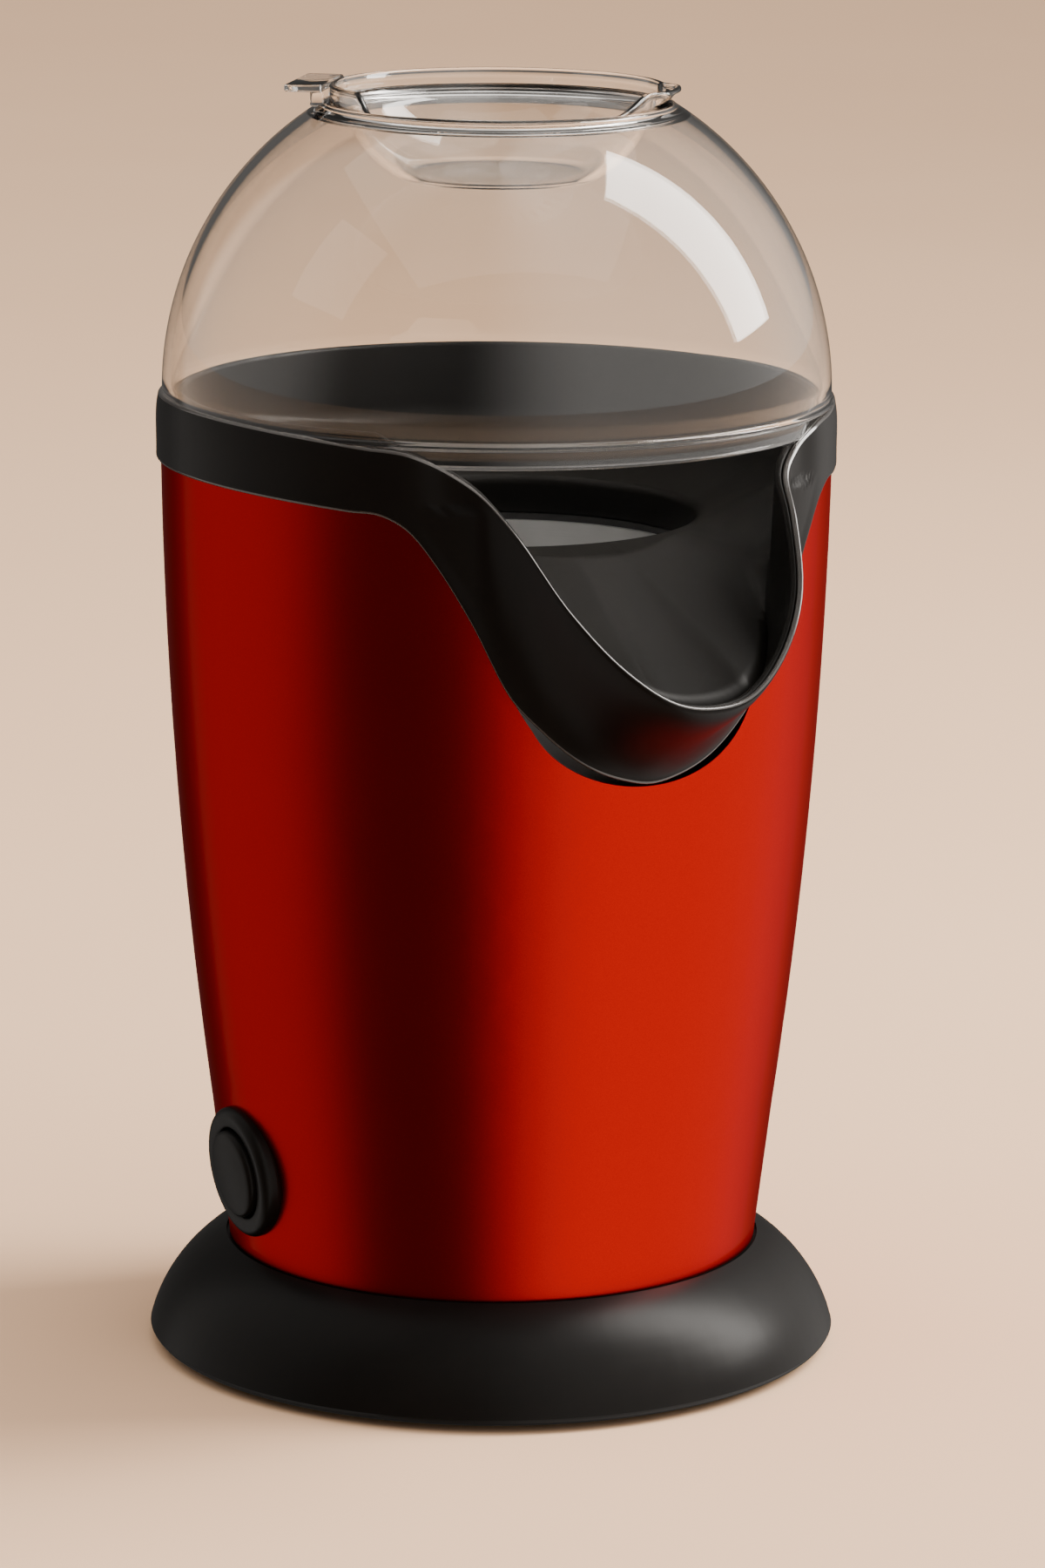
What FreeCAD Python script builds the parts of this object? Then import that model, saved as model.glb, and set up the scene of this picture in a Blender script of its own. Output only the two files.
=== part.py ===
import FreeCAD, Part
import Sketcher
import math
import os
import re

# A hot-air popcorn maker with a pouring spout, a clear dome and a measuring cup.
# Millimetres, +Z up. The origin is on the body's axis at the surface it stands on,
# the spout points along -Y and the switch sits on the -X side.

Vector = FreeCAD.Vector
doc = FreeCAD.newDocument("popcorn_maker")

# Driving dimensions --------------------------------------------------------------------

DIMENSIONS = {
    # painted body tube
    "body_radius": 79.1, "waist_radius": 63.4, "body_curve": 1300, "body_wall": 1.2,
    "taper_step": 4.1, "taper_height": 60, "body_bottom": 26, "body_height": 189,
    # base
    "base_flare": 19.2, "base_curve": 35, "base_wall": 2.4, "base_edge": 2,
    "base_turn_in": 2.4, "foot_height": 1.5, "foot_radius": 7, "foot_outset": 2.6,
    "foot_depth": 2, "plate_wall": 4, "plate_gap": 0.3, "slot_width": 3.4, "groove": 0.8,
    "slot_count": 24, "slot_inner": 26, "slot_outer": 46, "deck_room": 3, "deck_wall": 2.4,
    "spigot_height": 8, "spigot_wall": 1.8, "spigot_gap": 0.2, "boss_radius": 4,
    "boss_inset": 2.4, "counterbore": 2, "floor_screw": 12,
    # collar and spout
    "collar_step": 0.9, "collar_height": 13.4, "collar_bulge": 0.4, "collar_edge": 2,
    "collar_lip": 1.9, "rebate_depth": 5.1,
    "rebate_width": 2.4, "apron_step": 1.1, "spout_tuck": 2, "spout_reach": 29.5,
    "spout_half_width": 35.4, "spout_wall": 2, "spout_drop": 54.4, "root_drop": 78,
    "keel_half_width": 40, "keel_depth": 62, "flank_out": 5.1, "flare_angle": 43,
    "flare_curve": 15, "flare_inset": 0.8, "throat": 20, "dip_start": 52, "dip_end": 63,
    "dip_drop": 4.8, "dip_round": 16.4, "dip_curve": 124,
    # black apron round the spout, on the body
    "apron_curve": 32, "apron_round": 15, "apron_tuck": 7.4, "apron_rise": 16,
    "apron_side": 5.6, "side_drop": 25, "apron_knee": 12.2, "knee_drop": 13,
    "apron_end": 21.6, "end_drop": 1.8,
    # inner chute
    "liner_wall": 2, "liner_gap": 0.2, "upstand": 2.9, "hopper_drop": 16,
    "mouth_radius": 47.5, "mouth_drop": 27, "neck_height": 8.4,
    # dome and cup
    "dome_over": 0.85, "dome_rise": 2.6, "dome_wall": 2, "dome_mouth": 40.5,
    "dome_gap": 0.15, "skirt_depth": 4.6, "bead_out": 0.6, "bead_height": 1.6,
    "seat_drop": 3.2, "seat_width": 3, "seat_wall": 1.6,
    "cup_gap": 0.3, "cup_wall": 1.6, "cup_edge": 0.7, "bowl_gap": 1.5, "bowl_slope": 14,
    "bowl_depth": 15.5, "bowl_curve": 26, "cup_height": 7.1, "tab_width": 27, "tab_length": 8,
    "tab_wall": 1.8, "cup_turn": 142.5, "cut_start": 43, "cut_sweep": 112, "lip_length": 3,
    "leg_inset": 2.5, "leg_depth": 5,
    # switch
    "switch_room": 6.2, "switch_tilt": 6.9, "bezel_width": 3.1, "bezel_wall": 2.6,
    "button_radius": 10.5, "button_gap": 0.3, "button_proud": 4.6, "switch_travel": 2.5,
    "barrel_wall": 2.2, "barrel_depth": 9, "switch_box": 8, "terminal_length": 4.5,
    "terminal_width": 4.8, "terminal_wall": 0.8, "terminal_place": 5.6,
    # popping chamber and heater
    "chamber_wall": 1, "chamber_bottom": 112, "chamber_gap": 0.5, "flange_width": 9.5,
    "gasket_wall": 1.6,
    "vent_count": 24, "vent_width": 2.4, "vent_inner": 30, "vent_rim": 6.5,
    "tube_step": 4.5, "tube_wall": 0.8, "mica_wall": 1, "mica_bottom": 72,
    "mica_height": 34, "mica_foot": 6,
    "wire_radius": 0.7, "coil_room": 9, "coil_turns": 6, "coil_pitch": 5, "coil_lift": 8,
    # fan and motor
    "housing_wall": 2, "housing_step": 1, "housing_top": 66, "motor_plate": 44,
    "air_web": 5.43, "air_inset": 12, "air_count": 8, "hub_radius": 7, "fan_room": 4,
    "fan_height": 11, "fan_lift": 6, "nut_height": 2.4, "shaft_end": 1,
    "blade_count": 7, "blade_wall": 1.4, "blade_pitch": 32, "shaft_radius": 1.6,
    "shaft_gap": 0.05, "motor_radius": 17.5, "motor_height": 29, "motor_wall": 1.2,
    "magnet_wall": 3, "armature_gap": 0.8, "bearing_radius": 4, "bearing_height": 4,
    # fasteners and small parts
    "screw_radius": 1.5, "screw_head": 1.8, "screw_length": 8, "housing_screw": 6,
    "motor_screw": 5, "screw_inset": 5, "motor_circle": 8, "circle_step": 5.5,
    "bush_radius": 5.2, "bush_bore": 3.6, "bush_height": 12.6, "bush_length": 12,
    "bush_flange": 6.8, "bush_inset": 2,
    "thermostat_radius": 8, "thermostat_depth": 6, "fuse_radius": 1.8, "fuse_length": 12,
    "fuse_place": 8, "fuse_lift": 20, "thermostat_drop": 16,
    "block_length": 20, "block_width": 10, "block_height": 9, "block_inset": 42.6,
    "board_wall": 1.6, "board_radius": 15, "board_gap": 3,
    "diode_radius": 1.4, "diode_length": 5, "diode_across": 6, "diode_along": 7,
    "motor_blade_place": 12.6, "motor_blade_width": 4,
}

sheet = doc.addObject("Spreadsheet::Sheet", "dims")
for row, (alias, number) in enumerate(DIMENSIONS.items(), start=1):
    sheet.set(f"A{row}", alias)
    sheet.set(f"B{row}", str(number))
    sheet.setAlias(f"B{row}", alias)
doc.recompute()

# Places worked out from the driving dimensions, written once as expressions.
PLACES = {
    "taper_radius": "(waist_radius + taper_step)",
    "base_radius": "(waist_radius + base_flare)",
    "base_spigot": "(waist_radius - body_wall - spigot_gap)",
    "plate_radius": "(base_radius - base_turn_in - base_wall - plate_gap)",
    "plate_top": "(foot_height + plate_wall)",
    "foot_circle": "(waist_radius + foot_outset)",
    "boss_circle": "(waist_radius - boss_inset)",
    "body_top": "(body_bottom + body_height)",
    "collar_top": "(body_top + collar_height)",
    "collar_radius": "(body_radius + collar_step)",
    "spigot_radius": "(body_radius - body_wall - spigot_gap)",
    "spout_centre": "(collar_radius - spout_tuck)",
    "spout_tip": "(spout_centre + spout_reach)",
    "tip_height": "(collar_top - spout_drop)",
    "root_height": "(collar_top - root_drop)",
    "liner_radius": "(collar_radius - collar_lip - rebate_width)",
    "mouth_height": "(collar_top - mouth_drop)",
    "neck_radius": "(mouth_radius + liner_wall)",
    "neck_bottom": "(mouth_height - neck_height)",
    "skirt_radius": "(collar_radius - collar_lip - dome_gap)",
    "dome_radius": "(skirt_radius + dome_over)",
    "dome_centre": "(collar_top + dome_rise)",
    "bead_radius": "(dome_radius + bead_out)",
    "seat_radius": "(dome_mouth - seat_width)",
    "cup_seat": "(dome_centre + sqrt(dome_radius^2 - dome_mouth^2) - seat_drop)",
    "cup_rim": "(cup_seat + cup_height)",
    "cup_radius": "(dome_mouth - cup_gap - cup_edge)",
    "bowl_radius": "(seat_radius - bowl_gap)",
    "bowl_floor": "(bowl_radius - bowl_slope)",
    "tab_reach": "(dome_mouth + tab_length)",
    "lip_reach": "(dome_mouth + lip_length)",
    "barrel_radius": "(button_radius + barrel_wall)",
    "bezel_radius": "(barrel_radius + bezel_width)",
    "switch_height": "(body_bottom + bezel_radius + switch_room)",
    "switch_radius": "(taper_radius - (taper_height - switch_height)"
                     " * taper_step / (taper_height - body_bottom))",
    "chamber_top": "(neck_bottom - gasket_wall)",
    "chamber_radius": "(mouth_radius - chamber_gap)",
    "chamber_circle": "(mouth_radius + circle_step)",
    "flange_radius": "(mouth_radius + flange_width)",
    "vent_outer": "(mouth_radius - vent_rim)",
    "tube_radius": "(mouth_radius - tube_step)",
    "coil_radius": "(tube_radius - coil_room)",
    "housing_radius": "(tube_radius - housing_step)",
    "housing_inner": "(housing_radius - housing_wall)",
    "deck_mouth": "(housing_radius + deck_room)",
    "screw_circle": "(deck_mouth + screw_inset)",
    "housing_flange": "(screw_circle + screw_inset)",
    "air_circle": "(housing_inner - air_inset)",
    "air_hole": "(air_circle * sin(180 / air_count * 1deg) - air_web / 2)",
    "fan_radius": "(housing_inner - fan_room)",
    "fan_bottom": "(motor_plate + fan_lift)",
    "fan_top": "(fan_bottom + fan_height)",
    "motor_bottom": "(motor_plate - motor_height)",
    "magnet_radius": "(motor_radius - motor_wall)",
    "armature_radius": "(magnet_radius - magnet_wall - armature_gap)",
}


def linked(expression):
    """An expression in plain aliases and places, as one that reads the sheet."""
    text = str(expression)
    while PLACES.keys() & set(re.findall(r"[a-z_]+", text)):
        text = re.sub(r"[a-z_]+", lambda word: PLACES.get(word.group(), word.group()), text)
    return re.sub(r"[a-z_]+",
                  lambda word: "dims." + word.group() if word.group() in DIMENSIONS
                  else word.group(), text)


def size(expression):
    """The number an expression has at the sheet's present values."""
    result = sheet.evalExpression(linked(expression))
    return float(getattr(result, "Value", result))


def bind(item, **expressions):
    for name, expression in expressions.items():
        item.setExpression(name, linked(expression))
    return item


def place(item, x="0", y="0", z="0", turn="0", about="z"):
    """Set an item's place, and its turn in degrees about one of its own axes."""
    for axis, expression in zip("xyz", (x, y, z)):
        item.setExpression("Placement.Base." + axis, linked(expression))
    if turn != "0":
        for axis in "xyz":
            item.setExpression("Placement.Rotation.Axis." + axis, "1" if axis == about else "0")
        item.setExpression("Placement.Rotation.Angle", linked(turn))
    return item


# Sketched outlines ---------------------------------------------------------------------

def draw(sketch, corners):
    """Close an outline through corners (x, y) or (x, y, radius).

    A radius makes the side that ends at that corner an arc: positive bulges to the right
    of the way along the side, negative to the left.
    """
    points = [Vector(size(corner[0]), size(corner[1]), 0) for corner in corners]
    for index, corner in enumerate(corners):
        start, end = points[index - 1], points[index]
        if len(corner) == 3:
            radius = size(corner[2])
            chord = end - start
            side = Vector(chord.y, -chord.x, 0).normalize() * math.copysign(1, radius)
            rise = math.sqrt(radius ** 2 - (chord.Length / 2) ** 2)
            middle = (start + end) / 2 + side * (abs(radius) - rise)
            sketch.addGeometry(Part.Arc(start, middle, end), False)
        else:
            sketch.addGeometry(Part.LineSegment(start, end), False)

    def end_of(index, last):
        """Which end of a side is its last point: arcs run anticlockwise."""
        reversed_arc = len(corners[index]) == 3 and size(corners[index][2]) < 0
        return (1 if reversed_arc else 2) if last else (2 if reversed_arc else 1)

    for index, corner in enumerate(corners):
        following = (index + 1) % len(corners)
        sketch.addConstraint(Sketcher.Constraint(
            "Coincident", index, end_of(index, True), following, end_of(following, False)))
        for kind, axis, expression in (("DistanceX", -2, corner[0]), ("DistanceY", -1, corner[1])):
            if expression == "0":
                sketch.addConstraint(Sketcher.Constraint(
                    "PointOnObject", index, end_of(index, True), axis))
            else:
                number = sketch.addConstraint(Sketcher.Constraint(
                    kind, -1, 1, index, end_of(index, True), size(expression)))
                sketch.setExpression(f"Constraints[{number}]", linked(expression))
        if len(corner) == 3:
            number = sketch.addConstraint(Sketcher.Constraint("Radius", index, size(
                f"abs({corner[2]})")))
            sketch.setExpression(f"Constraints[{number}]", linked(f"abs({corner[2]})"))
    return sketch


def body_sketch(body, name, role, corners):
    sketch = body.newObject("Sketcher::SketchObject", name)
    plane = [feature for feature in body.Origin.OriginFeatures if feature.Role == role][0]
    sketch.AttachmentSupport = [(plane, "")]
    sketch.MapMode = "FlatFace"
    return draw(sketch, corners)


def turned(name, corners):
    """A body turned about Z from a half outline of (radius, height) corners."""
    body = doc.addObject("PartDesign::Body", name)
    outline = body_sketch(body, name + "_outline", "XZ_Plane", corners)
    feature = body.newObject("PartDesign::Revolution", name + "_turn")
    feature.Profile = outline
    feature.ReferenceAxis = (outline, ["V_Axis"])
    feature.Angle = 360
    return body


PLANES = {
    "front": FreeCAD.Rotation(Vector(1, 0, 0), 90),
    "side": FreeCAD.Rotation(Vector(0, -1, 0), Vector(0, 0, 1), Vector(-1, 0, 0)),
    "plan": FreeCAD.Rotation(),
}


def extruded(name, corners, plane, direction, length, z="0", both_ways=False):
    """A block: an outline in a front (x, z), side (-y, z) or plan (x, y) plane, extruded."""
    sketch = doc.addObject("Sketcher::SketchObject", name + "_outline")
    sketch.Placement = FreeCAD.Placement(Vector(), PLANES[plane])
    draw(sketch, corners)
    sketch.setExpression("Placement.Base.z", linked(z))
    block = doc.addObject("Part::Extrusion", name)
    block.Base = sketch
    block.DirMode = "Custom"
    block.Dir = Vector(*(size(number) for number in direction))
    for axis, expression in zip("xyz", direction):
        block.setExpression("Dir." + axis, linked(expression))
    block.Solid = True
    block.Symmetric = both_ways
    return bind(block, LengthFwd=length)


# Solids and booleans -------------------------------------------------------------------

def solid(kind, name, x="0", y="0", z="0", turn="0", about="z", **sizes):
    item = doc.addObject("Part::" + kind, name)
    bind(item, **sizes)
    return place(item, x, y, z, turn, about)


def tube(name, outer, inner, height, z="0"):
    return cut(name, solid("Cylinder", name + "_outside", z=z, Radius=outer, Height=height),
               solid("Cylinder", name + "_inside", z=z, Radius=inner, Height=height))


def fuse(name, *items):
    item = doc.addObject("Part::MultiFuse", name)
    item.Shapes = list(items)
    return item


def common(name, *items):
    item = doc.addObject("Part::MultiCommon", name)
    item.Shapes = list(items)
    return item


def cut(name, base, *tools):
    item = doc.addObject("Part::Cut", name)
    item.Base = base
    item.Tool = tools[0] if len(tools) == 1 else fuse(name + "_tools", *tools)
    return item


def group(name, items):
    item = doc.addObject("Part::Compound", name)
    item.Links = list(items)
    return item


def around(count, radius, first=0):
    """Places on a circle, as (index, x, y, angle) with x and y as expressions."""
    for index in range(count):
        angle = first + 360 / count * index
        yield (index, f"({radius}) * cos({angle} * 1deg)", f"({radius}) * sin({angle} * 1deg)", angle)


NODES = []


def node(item):
    """Name an item as one of the object's pieces."""
    item.Label = item.Name
    NODES.append(item)
    return item


def screws(name, places, face, length, head_up=True, radius="screw_radius"):
    """Pan-head screws at places on a circle, their heads against a face at a height."""
    made = []
    for index, x, y, _ in places:
        head_base = face if head_up else f"{face} - screw_head"
        shank_base = f"{face} - {length}" if head_up else face
        made.append(fuse(
            f"{name}_{index}",
            solid("Cylinder", f"{name}_head_{index}", x, y, head_base,
                  Radius=f"{radius} * 1.9", Height="screw_head"),
            solid("Cylinder", f"{name}_shank_{index}", x, y, shank_base,
                  Radius=radius, Height=length)))
    return group(name, made)


def holes(name, places, z, length, radius="screw_radius"):
    """Round cutters at places on a circle."""
    return [solid("Cylinder", f"{name}_{index}", x, y, z, Radius=radius, Height=length)
            for index, x, y, _ in places]


# Spout tools: plan prism, sloping keel, chute floor and the dipping rim ------------------

# An outline's side arc meets its tip arc at these shares of the half width and of the reach.
ACROSS, ALONG = 0.7, 0.714


def side_arc(half, reach):
    return f"(({1 - ACROSS:g} * {half})^2 + ({ALONG} * {reach})^2) / ({2 - 2 * ACROSS:g} * {half})"


def tip_arc(half, reach):
    return f"(({ACROSS} * {half})^2 + ({1 - ALONG:g} * {reach})^2) / ({2 - 2 * ALONG:g} * {reach})"


def spout_prism(name, inset):
    """The spout's plan, flared into the collar, as an upright prism inset by a wall."""
    half = f"(spout_half_width - {inset})"
    reach = f"(spout_reach - {inset})"
    corner_y = f"-(spout_centre + {ALONG} * {reach})"
    flank_x = f"({half} + flank_out)"
    flank_y = "-sqrt(body_radius^2 - (spout_half_width + flank_out)^2)"
    flare_x = f"((collar_radius - flare_inset) * sin(flare_angle * 1deg) - {inset})"
    flare_y = "-(collar_radius - flare_inset) * cos(flare_angle * 1deg)"
    throat_y = "-(collar_radius - throat)"
    back_y = "-(collar_radius - 2.5 * throat)"
    return extruded(name, [
        (half, "-spout_centre"),
        (f"{ACROSS} * {half}", corner_y, "-" + side_arc(half, reach)),
        (f"-{ACROSS} * {half}", corner_y, "-" + tip_arc(half, reach)),
        (f"-{half}", "-spout_centre", "-" + side_arc(half, reach)),
        (f"-{flank_x}", flank_y),
        (f"-{flare_x}", flare_y, "flare_curve"),
        (f"-{half}", throat_y),
        (f"-{half}", back_y),
        (half, back_y),
        (half, throat_y),
        (flare_x, flare_y),
        (flank_x, flank_y, "flare_curve"),
    ], "plan", ("0", "0", "1"), "collar_top + 10 - taper_height", "taper_height")


KEEL_SLOPE = "((root_drop - spout_drop) / (spout_reach - spout_tuck + 3))"


def spout_keel(name, inset):
    """The rounded underside of the spout, rising from the body to the tip."""
    half = f"(keel_half_width - {inset})"
    depth = f"(keel_depth - {inset})"
    middle = "(root_height + keel_depth)"
    side_curve = side_arc(half, depth)
    return extruded(name, [
        (half, f"{middle} + keel_depth"),
        (f"-{half}", f"{middle} + keel_depth"),
        (f"-{half}", middle),
        (f"-{ACROSS} * {half}", f"{middle} - {ALONG} * {depth}", side_curve),
        (f"{ACROSS} * {half}", f"{middle} - {ALONG} * {depth}", tip_arc(half, depth)),
        (half, middle, side_curve),
    ], "front", ("0", "-1", KEEL_SLOPE), "spout_tip * 1.4", f"-{KEEL_SLOPE} * (collar_radius - 3)")


def above_rim(name, lift, tip_lift):
    """Everything above the rim line, which dips from the collar's top to the spout's tip."""
    return extruded(name, [
        ("dip_start", f"collar_top + {lift}"),
        ("dip_end", f"collar_top - dip_drop + {lift}", "-dip_round"),
        ("spout_tip", f"tip_height + {tip_lift}", "-dip_curve"),
        ("spout_tip + 4", f"tip_height - 7 + {tip_lift}"),
        ("spout_tip + 4", "collar_top + 30"),
        ("dip_start", "collar_top + 30"),
    ], "side", ("1", "0", "0"), "collar_radius * 3", both_ways=True)


FLOOR_FALL = "((mouth_height - tip_height) / (spout_tip - spout_wall - liner_gap - mouth_radius))"


def below_floor(name, drop):
    """Everything below the chute's sloping floor."""
    top = f"mouth_height - {drop}"
    return extruded(name, [
        ("0", f"{top} + {FLOOR_FALL} * mouth_radius"),
        ("0", "body_bottom"),
        ("spout_tip + 10", "body_bottom"),
        ("spout_tip + 10", f"{top} - {FLOOR_FALL} * (spout_tip + 10 - mouth_radius)"),
    ], "side", ("1", "0", "0"), "collar_radius * 3", both_ways=True)


# Painted body tube ---------------------------------------------------------------------

spout_block = common("spout_block", spout_prism("spout_plan", "0"), spout_keel("spout_under", "0"))


def tube_outline(inner, outer):
    """Corners of the body's flared side, between two offsets from its outer surface."""
    return [
        (f"waist_radius + {inner}", "body_bottom"),
        (f"waist_radius + {outer}", "body_bottom"),
        (f"taper_radius + {outer}", "taper_height"),
        (f"body_radius + {outer}", "body_top", "body_curve"),
        (f"body_radius + {inner}", "body_top"),
        (f"taper_radius + {inner}", "taper_height", "-body_curve"),
    ]


def on_switch_axis(item):
    """Move an item made along +Z at the origin to the switch's axis on the body's side."""
    return place(item, x="-switch_radius", z="switch_height", turn="-90 - switch_tilt", about="y")


switch_hole = on_switch_axis(group("switch_hole", [
    solid("Cylinder", "switch_drill", z="-barrel_radius", Radius="barrel_radius + button_gap",
          Height="2 * barrel_radius")]))
node(cut("body_shell", turned("body_tube", tube_outline("-body_wall", "0")),
         spout_block, switch_hole))

# Collar with its spout -----------------------------------------------------------------

collar_ring = turned("collar_ring", [
    ("body_radius - 2", "body_top"),
    ("body_radius - 0.1", "body_top"),
    ("collar_radius + collar_bulge", "body_top + collar_edge"),
    ("collar_radius - collar_bulge", "collar_top"),
    ("body_radius - 6", "collar_top"),
    ("body_radius - 6", "body_top + 2.4"),
    ("body_radius - 2", "body_top + 2.4"),
])
apron_skin = fuse("apron_skin", turned("apron_side", tube_outline("0", "apron_step")),
                  tube("apron_head", "body_radius + apron_step", "body_radius - 1", "3",
                       "body_top"))
apron_outline = extruded("apron_outline", [
    ("-(spout_half_width - apron_tuck)", "root_height + apron_rise", "apron_round * 5"),
    ("spout_half_width - apron_tuck", "root_height + apron_rise", "apron_curve"),
    ("spout_half_width + apron_side", "body_top - side_drop", "apron_round * 5"),
    ("spout_half_width + apron_knee", "body_top - knee_drop"),
    ("spout_half_width + apron_end", "body_top - end_drop", "-apron_round"),
    ("spout_half_width + apron_end", "body_top + 2"),
    ("-(spout_half_width + apron_end)", "body_top + 2"),
    ("-(spout_half_width + apron_end)", "body_top - end_drop"),
    ("-(spout_half_width + apron_knee)", "body_top - knee_drop", "-apron_round"),
    ("-(spout_half_width + apron_side)", "body_top - side_drop"),
], "front", ("0", "-1", "0"), "collar_radius * 1.5")
collar_core = turned("collar_core", [
    ("0", "body_bottom"),
    ("waist_radius", "body_bottom"),
    ("taper_radius", "taper_height"),
    ("body_radius", "body_top", "body_curve"),
    ("liner_radius + liner_gap", "body_top"),
    ("liner_radius + liner_gap", "collar_top - rebate_depth"),
    ("collar_radius - collar_lip", "collar_top - rebate_depth"),
    ("collar_radius - collar_lip", "collar_top + 20"),
    ("0", "collar_top + 20"),
])
spout_hollow = common("spout_hollow", spout_prism("hollow_plan", "spout_wall"),
                      spout_keel("hollow_under", "spout_wall"))
collar_outside = fuse("collar_outside", collar_ring, spout_block,
                      common("apron", apron_skin, apron_outline))
collar_shell = cut("collar_shell", collar_outside, collar_core, spout_hollow,
                   above_rim("collar_rim", "0", "0"))
collar_spigot = cut("collar_spigot",
                    tube("spigot_ring", "spigot_radius", "spigot_radius - spigot_wall",
                         "spigot_height + 3", "body_top - spigot_height"),
                    turned("spigot_taper", tube_outline("-(body_wall + spigot_gap)", "1")),
                    spout_prism("spigot_opening", "-1"))
node(fuse("top_collar", collar_shell, collar_spigot))

# Inner chute: hopper dish, neck over the chamber, and the sloping trough ------------------

dish = turned("dish", [
    ("mouth_radius", "neck_bottom"),
    ("mouth_radius", "mouth_height"),
    ("liner_radius - liner_wall", "collar_top - hopper_drop"),
    ("liner_radius - liner_wall", "collar_top + upstand"),
    ("liner_radius", "collar_top + upstand"),
    ("liner_radius", "collar_top - hopper_drop - liner_wall"),
    ("neck_radius", "mouth_height - liner_wall"),
    ("neck_radius", "neck_bottom + liner_wall"),
    ("flange_radius", "neck_bottom + liner_wall"),
    ("flange_radius", "neck_bottom"),
])
hopper_space = turned("hopper_space", [
    ("0", "neck_bottom - 3"),
    ("mouth_radius", "neck_bottom - 3"),
    ("mouth_radius", "mouth_height"),
    ("liner_radius - liner_wall", "collar_top - hopper_drop"),
    ("liner_radius - liner_wall", "collar_top + 20"),
    ("0", "collar_top + 20"),
])
trough_outside = cut("trough_outside",
                     common("trough_block", spout_prism("trough_plan", "(spout_wall + liner_gap)"),
                            spout_keel("trough_under", "(spout_wall + liner_gap)")),
                     below_floor("under_trough", "liner_wall"))
trough_inside = cut("trough_inside",
                    spout_prism("trough_space", "(spout_wall + liner_gap + liner_wall)"),
                    below_floor("trough_floor", "0"))
chamber_bosses = [solid("Cylinder", f"chamber_boss_{index}", x, y, "neck_bottom",
                        Radius="boss_radius", Height="neck_height")
                  for index, x, y, _ in around(3, "chamber_circle", 90)]
liner_shell = fuse("liner_shell", dish, cut("trough_walls", trough_outside, hopper_space),
                   *chamber_bosses)
skirt_room = tube("skirt_room", "spout_tip", "liner_radius + liner_gap / 2",
                  "upstand + rebate_depth + 1", "collar_top - rebate_depth")
node(cut("chute_liner", liner_shell, trough_inside, above_rim("liner_rim", "upstand", "1"),
         skirt_room,
         *holes("liner_hole", around(3, "chamber_circle", 90), "neck_bottom - 1",
                "screw_length")))

# Clear dome ----------------------------------------------------------------------------

node(turned("dome_lid", [
    ("skirt_radius - dome_wall", "collar_top - skirt_depth"),
    ("skirt_radius", "collar_top - skirt_depth"),
    ("skirt_radius", "collar_top"),
    ("bead_radius", "collar_top"),
    ("bead_radius", "collar_top + bead_height"),
    ("sqrt(dome_radius^2 - (dome_rise - bead_height)^2)", "collar_top + bead_height"),
    ("dome_mouth", "dome_centre + sqrt(dome_radius^2 - dome_mouth^2)", "dome_radius"),
    ("dome_mouth", "cup_seat"),
    ("seat_radius", "cup_seat"),
    ("seat_radius", "cup_seat - seat_wall"),
    ("dome_mouth + seat_wall", "cup_seat - seat_wall"),
    ("dome_mouth + seat_wall",
     "dome_centre + sqrt((dome_radius - dome_wall)^2 - (dome_mouth + seat_wall)^2)"),
    ("sqrt((dome_radius - dome_wall)^2 - (dome_rise - bead_height)^2)",
     "collar_top + bead_height", "-(dome_radius - dome_wall)"),
]))

# Clear measuring cup -------------------------------------------------------------------

bowl = turned("bowl", [
    ("0", "cup_seat - bowl_depth"),
    ("bowl_floor", "cup_seat - bowl_depth"),
    ("bowl_radius", "cup_seat", "bowl_curve"),
    ("dome_mouth - cup_gap", "cup_seat"),
    ("dome_mouth - cup_gap", "cup_seat + cup_wall"),
    ("cup_radius", "cup_seat + cup_wall"),
    ("cup_radius", "cup_rim"),
    ("cup_radius - cup_wall", "cup_rim"),
    ("bowl_radius - cup_wall + 1", "cup_seat + cup_wall"),
    ("bowl_floor - 1", "cup_seat - bowl_depth + cup_wall", "-(bowl_curve - cup_wall)"),
    ("0", "cup_seat - bowl_depth + cup_wall"),
])
front_cut = place(
    bind(doc.addObject("Part::Cylinder", "front_cut"), Radius="dome_mouth + 12",
         Height="cup_height + 4", Angle="cut_sweep"),
    z="cup_seat + cup_wall + 0.9", turn="cut_start")
tab = solid("Box", "tab_plate", x="dome_mouth - 3", y="-tab_width / 2", z="cup_rim - tab_wall",
            Length="tab_reach - dome_mouth + 3", Width="tab_width", Height="tab_wall")
legs = [solid("Box", f"tab_leg_{index}", x="dome_mouth - 2.4", y=f"{side} - cup_wall / 2",
              z="cup_seat + cup_wall", Length="leg_depth", Width="cup_wall",
              Height="cup_height - cup_wall")
        for index, side in enumerate(("tab_width / 2 - leg_inset", "-(tab_width / 2 - leg_inset)"))]
leg_trim = tube("leg_trim", "dome_mouth + 10", "dome_mouth - cup_gap", "seat_drop + 0.4",
                "cup_seat - 0.4")
lip = cut("pour_lip", solid("Box", "lip_plate", x="-lip_reach", y="-tab_width / 2 + 2",
                            z="cup_rim - 2 * tab_wall", Length="lip_reach - bowl_radius",
                            Width="tab_width - 4", Height="2 * tab_wall"),
          solid("Cylinder", "lip_space", z="cup_rim - 3 * tab_wall",
                Radius="dome_mouth - cup_gap - cup_wall", Height="5 * tab_wall"))
cup_solid = fuse("cup_solid", cut("cup_bowl", bowl, front_cut), tab, lip, *legs)
cup_space = solid("Cylinder", "cup_space", z="cup_rim - 2 * tab_wall",
                  Radius="cup_radius - cup_wall", Height="5 * tab_wall")
measuring_cup = node(cut("measuring_cup", cup_solid, leg_trim, cup_space))
place(measuring_cup, turn="cup_turn")

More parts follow.
